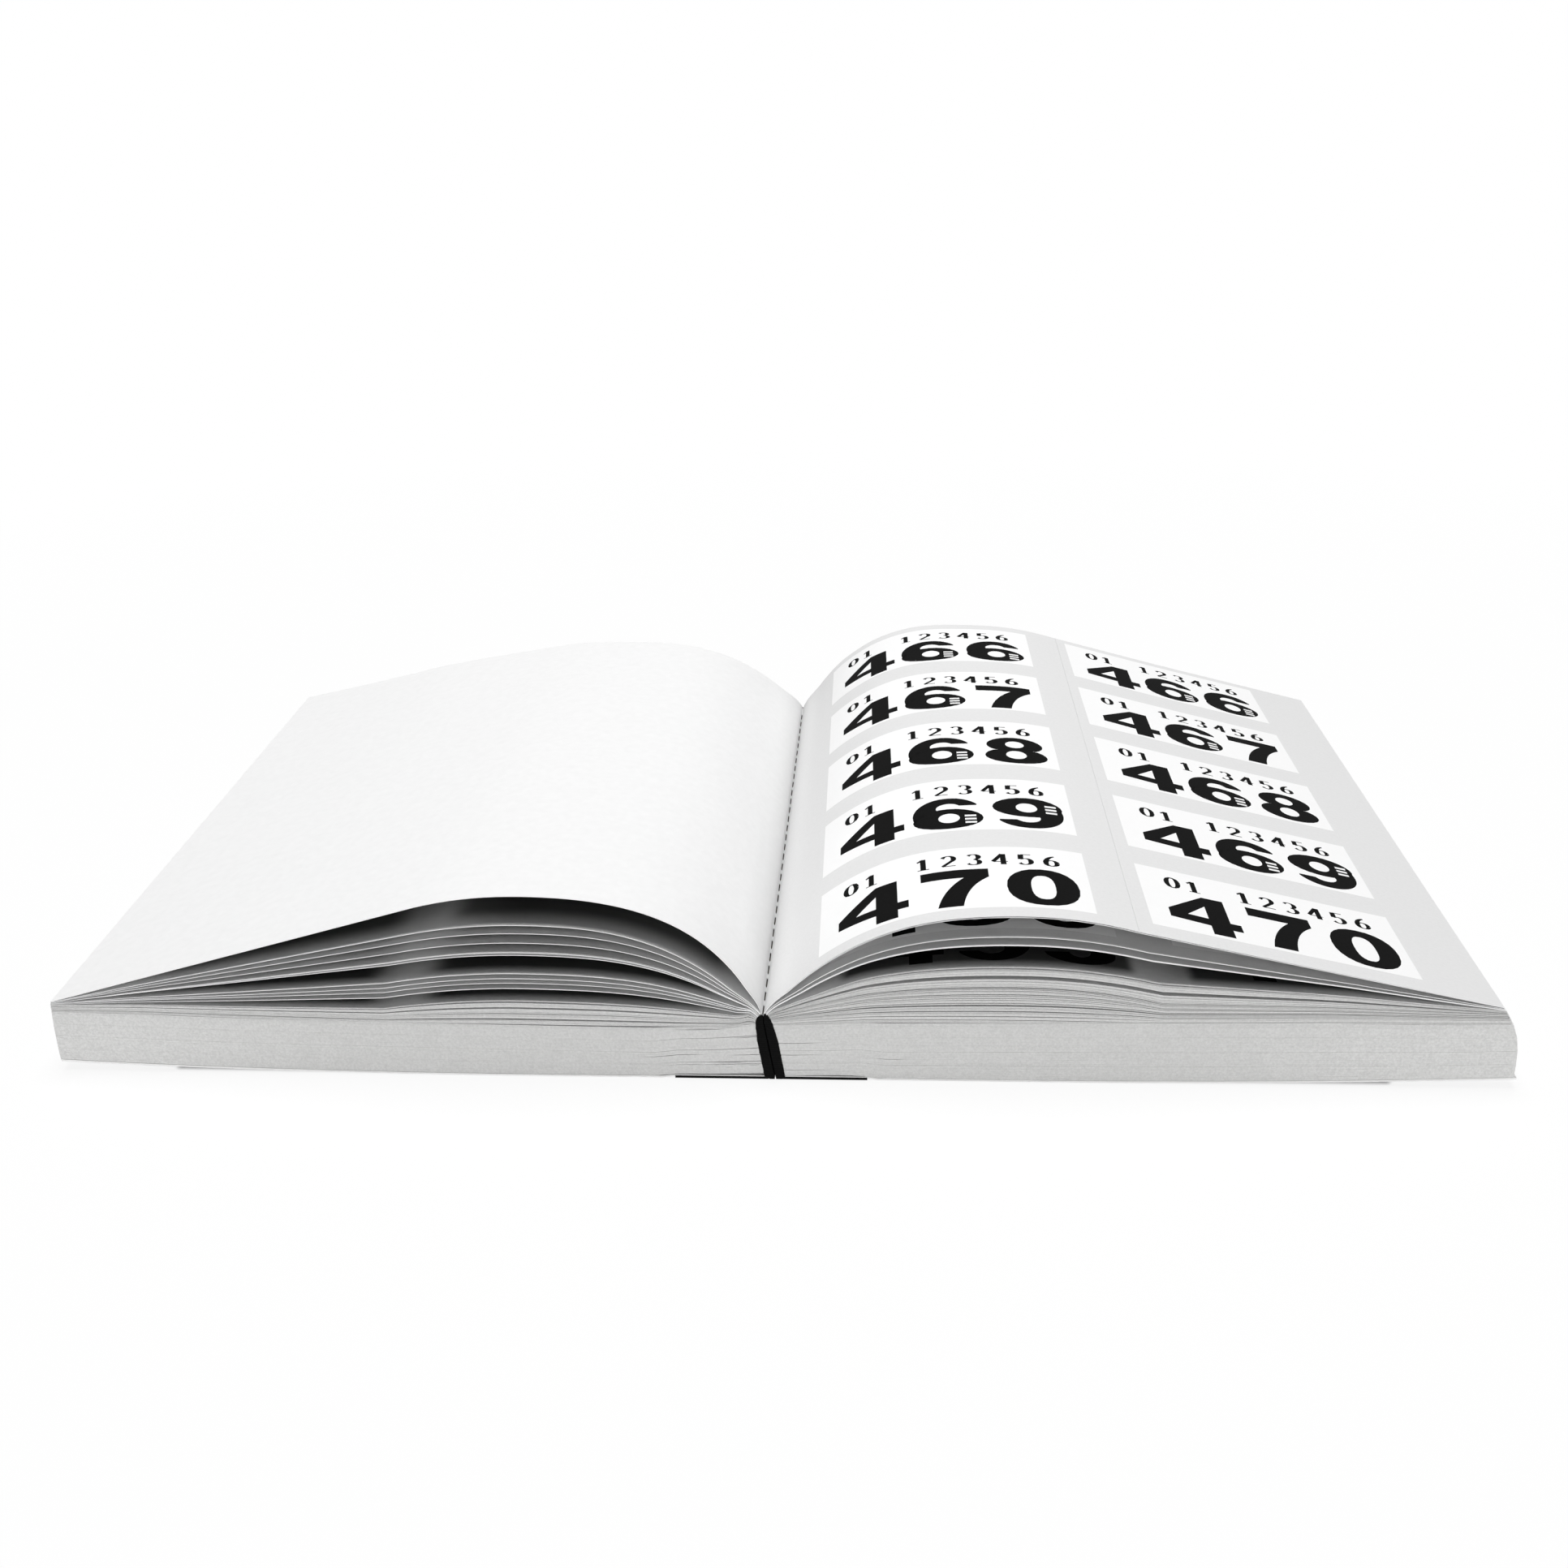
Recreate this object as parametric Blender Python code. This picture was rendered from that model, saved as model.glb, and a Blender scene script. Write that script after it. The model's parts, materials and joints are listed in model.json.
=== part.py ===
"""Raffle ticket book lying open near its middle, with its spine folded back on itself.

X runs across the two halves, Y along the spine away from the reader, Z up from the table.
Most lengths across a half are given as distances from the spine plane, so that one set of
functions makes both halves.
"""

from math import asin, cos, pi, radians, sin

import bpy
import numpy as np

MM = 0.001

# Leaves
LEAF_WIDTH = 112 * MM
LEAF_HEIGHT = 127 * MM
LEAF_THICKNESS = 0.105 * MM
PRESSED_AIR = 0.08
SHEET_GAP = 0.06 * MM

# Covers and binding
COVER_THICKNESS = 0.30 * MM
TAPE_THICKNESS = 0.20 * MM
TAPE_LAP = 13 * MM
TAPE_JOGGLE = 2 * MM
GLUE_THICKNESS = 0.35 * MM
RIDGE_SPLIT = 0.20 * MM
FAN_TURN = radians(86)
HINGE_RISE = 0.10 * MM

# How each half lies on the table: lift of its fore-edge at the near end and at the far end
LEFT_LIFT = (1.6 * MM, 2.6 * MM)
RIGHT_LIFT = (1.6 * MM, 0.4 * MM)
FLAT_REACH = 0.36 * LEAF_WIDTH
SLACK_REACH = 0.22 * LEAF_WIDTH

# Pressed leaves in each stack, from the cover up
LEFT_STACKS = (19, 19, 18, 18)
RIGHT_STACKS = (22, 21, 21, 21)

# Leaves that spring up: how many lie together, and their share of the top leaf's rise
LEFT_FAN = (
    (2, 0.015), (2, 0.055), (2, 0.10), (2, 0.14), (1, 0.185), (1, 0.285), (1, 0.325),
    (1, 0.365), (1, 0.405), (1, 0.545), (1, 0.57), (1, 0.64), (1, 0.715), (1, 0.78), (1, 1.0),
)
RIGHT_FAN = (
    (2, 0.015), (2, 0.04), (2, 0.075), (2, 0.12), (2, 0.175), (1, 0.22), (2, 0.27),
    (1, 0.33), (2, 0.425), (1, 0.495), (2, 0.715), (1, 0.795), (1, 0.945), (1, 1.0),
)

# Arches, at the near end and at the far end of the spine
LEFT_RISE = (23.4 * MM, 18.6 * MM)
RIGHT_RISE = (19.4 * MM, 20.2 * MM)
LEFT_CREST = 0.34 * LEAF_WIDTH
RIGHT_CREST = 0.34 * LEAF_WIDTH
LEFT_DROP = 2.0 * MM
RIGHT_DROP = 2.5 * MM
SOFT_START = 1 / 3
STEEP_START = 0.19
CREASE_AT = 0.54 * LEAF_WIDTH

# Fore-edge, set back toward the top leaf
LEFT_SETBACK = 0.6 * MM
RIGHT_SETBACK = 3.0 * MM
LEFT_ROUNDING = 2
RIGHT_ROUNDING = 3

# Perforations of the top leaf
PERFORATION_AT = 2.2 * MM
PERFORATION_WIDTH = 0.35 * MM
PERFORATION_PITCH = 4.0 * MM
PERFORATION_CUT = 2.4 * MM
PERFORATION_DEPTH = 8 * LEAF_THICKNESS
COLUMN_GAP = 0.20 * MM

# Derived sizes
NEAR = -LEAF_HEIGHT / 2
FAR = LEAF_HEIGHT / 2
FAN_ARC = sum(n for n, _ in RIGHT_FAN) * LEAF_THICKNESS + len(RIGHT_FAN) * SHEET_GAP
BOUND_RADIUS = FAN_ARC / FAN_TURN
GLUE_OUTER = BOUND_RADIUS - SHEET_GAP
GLUE_INNER = GLUE_OUTER - GLUE_THICKNESS
TAPE_OUTER = GLUE_INNER - SHEET_GAP
TAPE_INNER = TAPE_OUTER - TAPE_THICKNESS
FORE_EDGE = BOUND_RADIUS + LEAF_WIDTH
LAP_END = BOUND_RADIUS + TAPE_LAP
COVER_STEP = TAPE_THICKNESS + SHEET_GAP
LEAF_BASE = COVER_STEP + COVER_THICKNESS
FOLD_CENTRE = LEAF_BASE + sum(RIGHT_STACKS) * LEAF_THICKNESS + (len(RIGHT_STACKS) + 1) * SHEET_GAP
HINGE_HEIGHT = FOLD_CENTRE + BOUND_RADIUS + HINGE_RISE


def spine_length(stacks, fan):
    """Length of spine that a half takes up, from the cover to its top leaf."""
    leaves = sum(stacks) + sum(n for n, _ in fan)
    return leaves * LEAF_THICKNESS + (len(stacks) + len(fan)) * SHEET_GAP


LEFT_SLACK = (spine_length(RIGHT_STACKS, RIGHT_FAN) - spine_length(LEFT_STACKS, LEFT_FAN)) / len(LEFT_STACKS)


def clear_scene():
    for item in list(bpy.data.objects):
        bpy.data.objects.remove(item, do_unlink=True)


def finish(name, rgb, roughness):
    """A plain material with one colour, for paper, card, tape or glue."""
    material = bpy.data.materials.new(name)
    material.use_nodes = True
    shader = material.node_tree.nodes["Principled BSDF"]
    shader.inputs["Base Color"].default_value = (*rgb, 1)
    shader.inputs["Roughness"].default_value = roughness
    shader.inputs["Metallic"].default_value = 0
    return material


def add_solid(name, points, faces, material, origin=(0, 0, 0)):
    """A named solid whose own origin lies at a point of the book, such as a hinge."""
    mesh = bpy.data.meshes.new(name)
    mesh.from_pydata((np.array(points) - np.array(origin)).tolist(), [], faces)
    mesh.materials.append(material)
    mesh.update()
    item = bpy.data.objects.new(name, mesh)
    item.location = origin
    bpy.context.scene.collection.objects.link(item)
    return item


def sheet_solid(name, side, low, up, material, origin=(0, 0, 0)):
    """A closed sheet between a lower and an upper surface.

    Each surface is a pair of (x, z) outlines, at the near and at the far end, from the spine
    to the fore-edge. Both surfaces are split along the same diagonals.
    """
    count = len(low[0])
    points = []
    for outlines in (low, up):
        for y, outline in zip((NEAR, FAR), outlines):
            points += [(side * x, y, z) for x, z in outline]
    low_near, low_far, up_near, up_far = (np.arange(count) + k * count for k in range(4))
    faces = []
    for i in range(count - 1):
        j = i + 1
        faces.append((low_near[i], low_far[j], low_near[j]))
        faces.append((low_near[i], low_far[i], low_far[j]))
        faces.append((up_near[i], up_near[j], up_far[j]))
        faces.append((up_near[i], up_far[j], up_far[i]))
        faces.append((low_near[i], low_near[j], up_near[j], up_near[i]))
        faces.append((low_far[j], low_far[i], up_far[i], up_far[j]))
    faces.append((low_far[0], low_near[0], up_near[0], up_far[0]))
    faces.append((low_near[-1], low_far[-1], up_far[-1], up_near[-1]))
    return add_solid(name, points, outward(faces, side), material, origin)


def outward(faces, side):
    """Faces written for the right half, turned round for the mirrored left half."""
    return [tuple(int(v) for v in (face if side > 0 else face[::-1])) for face in faces]


def bed(x, lift):
    """Height of the underside above the table: flat near the spine, lifting to the fore-edge."""
    return lift * np.clip((x - FLAT_REACH) / (FORE_EDGE - FLAT_REACH), 0, None) ** 2


def pressed_stations(end):
    """Distances from the spine at which the cover and the pressed stacks have their edges."""
    shares = np.array([0, 0.03, 0.07, 0.18, 0.24, 0.36, 0.48, 0.6, 0.7, 0.8, 0.88, 0.95])
    stations = BOUND_RADIUS + LEAF_WIDTH * shares
    return np.unique(np.concatenate((stations, [LAP_END, LAP_END + TAPE_JOGGLE, end])))


def outline(x, z):
    return np.column_stack((x, z))


def offset_up(line, thickness):
    """The line raised by a thickness measured square to it."""
    x, z = line.T
    slope = np.gradient(z, x)
    return outline(x, z + thickness * np.sqrt(1 + slope**2))


def raised(line, below, gap):
    """The line, lifted where needed to clear the outline below it by a gap, also between its points."""
    x, z = line.T
    z = np.maximum(z, np.interp(x, below[:, 0], below[:, 1], left=-1) + gap)
    under = below[(below[:, 0] > x[0]) & (below[:, 0] < x[-1])]
    short = under[:, 1] + gap - np.interp(under[:, 0], x, z)
    segment = np.searchsorted(x, under[:, 0]) - 1
    lift = np.zeros(len(x))
    np.maximum.at(lift, segment, short)
    np.maximum.at(lift, segment + 1, short)
    return outline(x, z + lift)


def make_cover(name, side, lifts, material, origin):
    """A card that steps down past the lap of the tape and follows the lift of its half."""
    x = pressed_stations(FORE_EDGE)
    step = COVER_STEP * np.clip((LAP_END + TAPE_JOGGLE - x) / TAPE_JOGGLE, 0, 1)
    low = [outline(x, bed(x, lift) + step) for lift in lifts]
    up = [outline(x, line[:, 1] + COVER_THICKNESS) for line in low]
    sheet_solid(name, side, low, up, material, origin)
    return up


def make_stacks(label, side, stacks, slack, below, leaves_in_half, setback, rounding, material):
    """The pressed leaves, looser in mid-leaf, and parted near the spine by the slack."""
    x = pressed_stations(FORE_EDGE)
    gap = SHEET_GAP + slack * np.clip(1 - (x - BOUND_RADIUS) / SLACK_REACH, 0, 1) ** 2
    air = PRESSED_AIR * np.sin(pi * (x - BOUND_RADIUS) / LEAF_WIDTH) ** 2
    done = 0
    for number, leaves in enumerate(stacks, 1):
        low = [outline(x, line[:, 1] + gap) for line in below]
        up = [outline(x, line[:, 1] + leaves * LEAF_THICKNESS * (1 + air)) for line in low]
        for lines, part in ((low, done), (up, done + leaves)):
            for line in lines:
                line[-1, 0] = FORE_EDGE - setback * (part / leaves_in_half) ** rounding
        sheet_solid(f"{label}_stack_{number}", side, low, up, material)
        done += leaves
        below = up
    return below


def leaf_line(start, crest, crease, end, pull):
    """One leaf from its bound edge: a curve up to the crest, a falling arc to the crease
    at the middle perforation, and straight on to the fore-edge."""
    t = np.linspace(0, 1, 13)[:, None] ** 1.35
    span = crest[0] - start[0]
    first = np.array((start[0] + pull * span, start[1] + 0.92 * (crest[1] - start[1])))
    second = np.array((crest[0] - span / 3, crest[1]))
    rise = start * (1 - t) ** 3 + 3 * first * t * (1 - t) ** 2 + 3 * second * t**2 * (1 - t) + crest * t**3
    s = np.linspace(0, 1, 6)[1:, None]
    fall = np.column_stack((crest[0] + (crease[0] - crest[0]) * s, crest[1] + (crease[1] - crest[1]) * s**2))
    run = crease + (end - crease) * np.linspace(0, 1, 6)[1:, None]
    return np.vstack((rise, fall, run))


def fan_lines(stacks, fan, rises, crest_at, drop, setback, rounding, stack_top):
    """Lower and upper outlines of every springing leaf, at the near and the far end."""
    leaves_in_half = sum(stacks) + sum(n for n, _ in fan)
    below = stack_top
    turn = 0
    done = sum(stacks)
    made = []
    for number, (leaves, share) in enumerate(fan, 1):
        turn += SHEET_GAP / BOUND_RADIUS
        start = np.array((BOUND_RADIUS * cos(turn), FOLD_CENTRE + BOUND_RADIUS * sin(turn)))
        turn += leaves * LEAF_THICKNESS / BOUND_RADIUS
        done += leaves
        reach = FORE_EDGE - setback * (done / leaves_in_half) ** rounding
        steep = rises[0] > rises[1] and number == len(fan)
        low, up = [], []
        for k, pull in enumerate((STEEP_START if steep else SOFT_START, SOFT_START)):
            rise = share * rises[k]
            crest = np.array((crest_at, np.interp(crest_at, *stack_top[k].T) + rise))
            crease = np.array((crease_distance(rise, crest_at), crest[1] - min(drop, 0.4 * rise)))
            end = np.array((reach, np.interp(reach, *below[k].T) + SHEET_GAP))
            line = leaf_line(start, crest, crease, end, pull)
            low.append(raised(line, below[k], SHEET_GAP))
            up.append(offset_up(low[k], leaves * LEAF_THICKNESS))
        below = up
        made.append((low, up))
    return made


def crease_distance(rise, crest_at):
    """Distance of a leaf's middle perforation from the spine: an arched leaf draws it in."""
    return CREASE_AT - rise**2 / (2 * crest_at)


def make_spine_layer(name, side, inner, outer, foot, material):
    """A layer over one side of the folded spine: an upright leg and a quarter turn, split at the ridge."""
    split = asin(RIDGE_SPLIT / 2 / inner)
    turns = np.linspace(0, pi / 2 - split, 10)
    low = [(inner, foot)] + [(inner * cos(a), FOLD_CENTRE + inner * sin(a)) for a in turns]
    up = [(outer, foot)] + [(outer * cos(a), FOLD_CENTRE + outer * sin(a)) for a in turns]
    sheet_solid(name, -side, [[(-x, z) for x, z in low]] * 2, [[(-x, z) for x, z in up]] * 2, material)


def make_tape_lap(name, side, material, origin):
    """The part of the tape that is stuck to the outside of a cover."""
    low = [(TAPE_INNER, 0), (LAP_END, 0)]
    up = [(TAPE_INNER, TAPE_THICKNESS), (LAP_END, TAPE_THICKNESS)]
    sheet_solid(name, side, (low, low), (up, up), material, origin)


def perforate(leaf, low):
    """Cut a row of short slots through a leaf beside its bound edge, square to its surface."""
    run = np.concatenate(([0], np.cumsum(np.hypot(*np.diff(low, axis=0).T))))
    middle, ahead = (
        np.array([np.interp(at, run, low[:, k]) for k in range(2)])
        for at in (PERFORATION_AT, PERFORATION_AT + PERFORATION_WIDTH)
    )
    tangent = (ahead - middle) / np.hypot(*(ahead - middle))
    half_width = tangent * PERFORATION_WIDTH / 2
    half_depth = np.array((-tangent[1], tangent[0])) * PERFORATION_DEPTH / 2
    count = int(LEAF_HEIGHT / PERFORATION_PITCH) - 1
    first = -(count - 1) / 2 * PERFORATION_PITCH
    corners = []
    for y in (first - PERFORATION_CUT / 2, first + PERFORATION_CUT / 2):
        for across, through in ((-1, -1), (1, -1), (1, 1), (-1, 1)):
            x, z = middle + across * half_width + through * half_depth
            corners.append((x, y, z))
    sides = [(0, 1, 2, 3), (7, 6, 5, 4), (0, 4, 5, 1), (1, 5, 6, 2), (2, 6, 7, 3), (3, 7, 4, 0)]
    cutter = add_solid("perforation_cutter", corners, sides, leaf.data.materials[0])
    row = cutter.modifiers.new("row", "ARRAY")
    row.use_relative_offset = False
    row.use_constant_offset = True
    row.constant_offset_displace = (0, PERFORATION_PITCH, 0)
    row.count = count
    cutter.hide_render = True
    cutter.display_type = "WIRE"
    cut = leaf.modifiers.new("perforation", "BOOLEAN")
    cut.operation = "DIFFERENCE"
    cut.solver = "EXACT"
    cut.object = cutter


def part_between(lines, start, end):
    """The stretch of a pair of outlines between two distances from the spine."""
    x = lines[0][:, 0]
    x = np.concatenate(([start], x[(x > start) & (x < end)], [end]))
    return [outline(x, np.interp(x, *line.T)) for line in lines]


def main():
    clear_scene()
    card = finish("cover_card", (0.80, 0.80, 0.79), 0.8)
    paper = finish("leaf_paper", (0.78, 0.78, 0.77), 0.85)
    edges = finish("pressed_paper", (0.62, 0.62, 0.61), 0.9)
    print_stock = finish("printed_paper", (0.70, 0.70, 0.70), 0.85)
    cloth = finish("binding_tape", (0.012, 0.012, 0.012), 0.7)
    glue = finish("binding_glue", (0.55, 0.55, 0.52), 0.5)

    halves = (
        ("left", -1, LEFT_STACKS, LEFT_FAN, LEFT_LIFT, LEFT_RISE, LEFT_CREST, LEFT_DROP,
         LEFT_SETBACK, LEFT_ROUNDING, LEFT_SLACK),
        ("right", 1, RIGHT_STACKS, RIGHT_FAN, RIGHT_LIFT, RIGHT_RISE, RIGHT_CREST, RIGHT_DROP,
         RIGHT_SETBACK, RIGHT_ROUNDING, 0),
    )
    for label, side, stacks, fan, lifts, rises, crest_at, drop, setback, rounding, slack in halves:
        cover = "front" if side < 0 else "back"
        fold = (side * TAPE_INNER, 0, 0)
        total = sum(stacks) + sum(n for n, _ in fan)
        make_tape_lap(f"{cover}_tape_lap", side, cloth, fold)
        cover_top = make_cover(f"{cover}_cover", side, lifts, card, fold)
        stack_top = make_stacks(label, side, stacks, slack, cover_top, total, setback, rounding, edges)
        make_spine_layer(f"{label}_spine_tape", side, TAPE_INNER, TAPE_OUTER, COVER_STEP, cloth)
        make_spine_layer(f"{label}_spine_glue", side, GLUE_INNER, GLUE_OUTER, COVER_STEP, glue)
        lines = fan_lines(stacks, fan, rises, crest_at, drop, setback, rounding, stack_top)
        for number, (low, up) in enumerate(lines[:-1], 1):
            sheet_solid(f"{label}_fan_{number:02d}", side, low, up, paper)
        low, up = lines[-1]
        first, last = low[0][0], low[0][-1]
        bound = (side * first[0], 0, first[1])
        if side < 0:
            sheet_solid("facing_leaf", side, low, up, paper, bound)
            continue
        crease = crease_distance(rises[0], crest_at)
        inner = [part_between(surface, first[0], crease - COLUMN_GAP / 2) for surface in (low, up)]
        outer = [part_between(surface, crease + COLUMN_GAP / 2, last[0]) for surface in (low, up)]
        ticket_leaf = sheet_solid("ticket_leaf", side, *inner, print_stock, bound)
        perforate(ticket_leaf, inner[0][0])
        fold_height = np.mean([np.interp(crease, *line.T) for line in low])
        sheet_solid("ticket_column", side, *outer, print_stock, (crease, 0, fold_height))


main()
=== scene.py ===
# %% [markdown]
# # A raffle ticket book, lying open
#
# A raffle ticket book is a thick pad of perforated leaves, glued along one edge and bound there with
# a strip of black cloth. Opened near its middle, it folds its spine back on itself: the pressed
# leaves lie flat in two blocks, and the leaves next to the opening spring up in two fans.
#
# The imported model gives the true place of every piece. The first step loads it.

import json
import math

import bpy
import numpy as np
from mathutils import Matrix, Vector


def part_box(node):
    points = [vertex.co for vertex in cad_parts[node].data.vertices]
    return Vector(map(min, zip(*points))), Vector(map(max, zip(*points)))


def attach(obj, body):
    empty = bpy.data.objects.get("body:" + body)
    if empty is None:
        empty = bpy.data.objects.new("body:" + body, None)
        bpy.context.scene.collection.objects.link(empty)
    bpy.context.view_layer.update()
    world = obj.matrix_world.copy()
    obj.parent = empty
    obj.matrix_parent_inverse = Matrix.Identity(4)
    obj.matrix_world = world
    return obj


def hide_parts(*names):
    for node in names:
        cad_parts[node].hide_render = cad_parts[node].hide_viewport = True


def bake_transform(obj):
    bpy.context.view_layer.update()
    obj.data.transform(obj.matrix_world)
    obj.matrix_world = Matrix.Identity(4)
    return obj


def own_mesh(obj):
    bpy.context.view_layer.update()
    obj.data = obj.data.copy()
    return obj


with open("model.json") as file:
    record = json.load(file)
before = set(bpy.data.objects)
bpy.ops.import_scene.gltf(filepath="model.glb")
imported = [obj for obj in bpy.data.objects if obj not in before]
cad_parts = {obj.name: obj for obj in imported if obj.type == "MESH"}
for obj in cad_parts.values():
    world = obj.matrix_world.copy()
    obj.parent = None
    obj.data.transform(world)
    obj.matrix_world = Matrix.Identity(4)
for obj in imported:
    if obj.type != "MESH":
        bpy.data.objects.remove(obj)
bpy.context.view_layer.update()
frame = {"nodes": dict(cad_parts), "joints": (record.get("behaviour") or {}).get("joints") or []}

# %% [markdown]
# ## Reading the leaves' outlines
#
# Each sheet of the frame is ruled straight from its near end to its far end, so two outlines at each
# end say everything about its shape. They could be typed in again, but reading them from the frame
# keeps every dressed leaf in the place of its solid.

# %% Outlines of a sheet
MM = 0.001
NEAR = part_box("facing_leaf")[0].y
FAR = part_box("facing_leaf")[1].y
LEAF_THICKNESS = 0.105 * MM
SAME_PLACE = 0.001 * MM


def outlines(node):
    """Lower and upper outline of a sheet, at its near and at its far end.

    An outline is a row of (distance from the spine, height). Of two corners at one distance, the lower
    one belongs to the lower surface. A corner alone at its distance belongs to the surface that it is
    nearer to; of the two at a slanted fore-edge, the lower one belongs to the lower surface.
    """
    mesh = frame["nodes"][node].data
    corners = np.empty(len(mesh.vertices) * 3, np.float32)
    mesh.vertices.foreach_get("co", corners)
    corners = corners.reshape(-1, 3).astype(float)
    found = []
    for end in (NEAR, FAR):
        row = corners[np.abs(corners[:, 1] - end) < SAME_PLACE]
        at, which = np.unique(np.abs(row[:, 0]).round(5), return_inverse=True)
        low = np.full(len(at), np.inf)
        up = np.full(len(at), -np.inf)
        np.minimum.at(low, which, row[:, 2])
        np.maximum.at(up, which, row[:, 2])
        paired = up - low > SAME_PLACE
        middle = np.interp(at, at[paired], (low + up)[paired] / 2)
        at_edge = at > at[paired][-1]
        middle[at_edge] = low[at_edge].mean() if at_edge.any() else 0
        found.append((
            np.column_stack((at, low))[paired | (low <= middle)],
            np.column_stack((at, up))[paired | (up >= middle)],
        ))
    return found


def leaves_in(node):
    """How many leaves a node holds, from its thickness where it is thinnest."""
    low, up = outlines(node)[0]
    return round((up[:, 1] - np.interp(up[:, 0], *low.T)).min() / LEAF_THICKNESS)


def half_nodes(kind):
    """The nodes of a kind in each half, from the lowest up."""
    return {half: sorted(n for n in frame["nodes"] if n.startswith(f"{half}_{kind}")) for half in SIDES}


SIDES = {"left": -1, "right": 1}
stack_nodes = half_nodes("stack")
fan_nodes = half_nodes("fan")
for half in SIDES:
    print(half, "pressed leaves:", [leaves_in(n) for n in stack_nodes[half]])
    print(half, "springing leaves:", [leaves_in(n) for n in fan_nodes[half]])

# %% [markdown]
# ## Smooth lines from few points
#
# The frame's outlines have only a few corners. A sheet of paper bends in one smooth curve, so the
# corners are joined by cubic pieces that share a direction where they meet. At its middle
# perforation a leaf has a real crease, so the curve is made in two stretches that meet there.

# %% Fairing
CREASE_CORNER = -6
INNER_SHARES = np.linspace(0, 1, 40) ** 1.2
OUTER_SHARES = np.linspace(0, 1, 10)


def arc_length(line):
    """Distance along a line, from its first point to each of its points."""
    return np.concatenate(([0], np.cumsum(np.hypot(*np.diff(line, axis=0).T))))


def fair(line, shares):
    """Points on a smooth curve through a line's corners, at given shares of its length.

    Between two corners the curve is a cubic. Its direction at a corner is the mean of the runs on
    either side, weighted by their lengths.
    """
    run = arc_length(line)
    slope = np.gradient(line, run, axis=0)
    at = np.asarray(shares) * run[-1]
    k = np.clip(np.searchsorted(run, at, "right") - 1, 0, len(run) - 2)
    h = (run[k + 1] - run[k])[:, None]
    t = (at - run[k])[:, None] / h
    first = (1 + 2 * t) * (1 - t) ** 2 * line[k] + t * (1 - t) ** 2 * h * slope[k]
    second = t**2 * (3 - 2 * t) * line[k + 1] + t**2 * (t - 1) * h * slope[k + 1]
    return first + second


def creased(line, cut):
    """A springing leaf's line: fair up to its crease, and fair again from there to the cut fore-edge."""
    inner = fair(line[:CREASE_CORNER + 1], INNER_SHARES)
    rest = line[CREASE_CORNER:]
    outer = fair(rest, OUTER_SHARES * (1 - cut / arc_length(rest)[-1]))
    return np.vstack((inner, outer[1:]))


def uncreased(line, cut):
    """One column of the ticket leaf's line, which ends or starts at the crease."""
    return fair(line, INNER_SHARES * (1 - cut / arc_length(line)[-1]))


def ruled(near_line, far_line, side, y):
    """Grid of points on straight rulings from a near outline to a far one.

    A share v of the way along the spine the outline is (1 - v) times the near one plus v times the
    far one. side is +1 for the right half and -1 for the left.
    """
    v = ((y - NEAR) / (FAR - NEAR))[None, :, None]
    line = near_line[:, None, :] * (1 - v) + far_line[:, None, :] * v
    return np.stack((side * line[..., 0], np.broadcast_to(y, line.shape[:2]), line[..., 1]), axis=-1)


def two_grids(lines, side, y):
    """The upper and the lower grid of a sheet, from its lower and upper lines at both ends."""
    return [ruled(lines[0][k], lines[1][k], side, y) for k in (1, 0)]


def between(lines, first, last):
    """The lines of one leaf that lies between two shares of its node's thickness."""
    return [(low + (up - low) * first, low + (up - low) * last) for low, up in lines]


top_line = creased(outlines("facing_leaf")[0][1], 0)
print("facing leaf, near end:", round(arc_length(top_line)[-1] / MM, 1), "mm of paper")

# %% [markdown]
# ## A spine that stands askew
#
# The folded spine of a used book doesn't stand quite upright: at the near end its foot is pushed to
# the right and its ridge to the left. It is also pinched, most of all at the ridge, where the leaves
# press from both sides. Every piece could be drawn so, but it is simpler to shift the points of all
# pieces alike, so that they keep meeting.

# %% Askew spine
FOOT_SHIFT = 0.9 * MM
RIDGE_SHIFT = -0.7 * MM
RIDGE_HEIGHT = 10.5 * MM
SHIFT_REACH = 12 * MM
PINCH_HEIGHTS = np.array((0, 7, 10.5, 12, 16)) * MM
PINCHES = (0.25, 0.25, 0.43, 0.43, 0)
PINCH_REACH = 6 * MM


def askew(points):
    """Points drawn together and shifted sideways near the spine.

    A share of each point's distance from the middle is taken off; it is largest at the height of the
    ridge and dies off as a bell curve with distance from the spine. The shift goes in a straight line
    from its value at the foot to that at the ridge, fades to nothing from the near end to the far end,
    and dies off as a wider bell curve.
    """
    x, y, z = points.T
    pinch = np.interp(z, PINCH_HEIGHTS, PINCHES)
    shift = FOOT_SHIFT + (RIDGE_SHIFT - FOOT_SHIFT) * np.clip(z / RIDGE_HEIGHT, 0, 1)
    fade = np.clip((FAR - y) / (FAR - NEAR), 0, 1) * np.exp(-((x / SHIFT_REACH) ** 2))
    drawn = x * (1 - pinch * np.exp(-((x / PINCH_REACH) ** 2)))
    return np.column_stack((drawn + shift * fade, y, z))


print("the ridge leans", round((FOOT_SHIFT - RIDGE_SHIFT) / MM, 1), "mm to the left at the near end")

# %% [markdown]
# The loose leaves also lie a little closer under the open pages, at the near end, than the frame has
# them, and the tight leaves below reach higher. That too is done for the points of all pieces alike.

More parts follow.
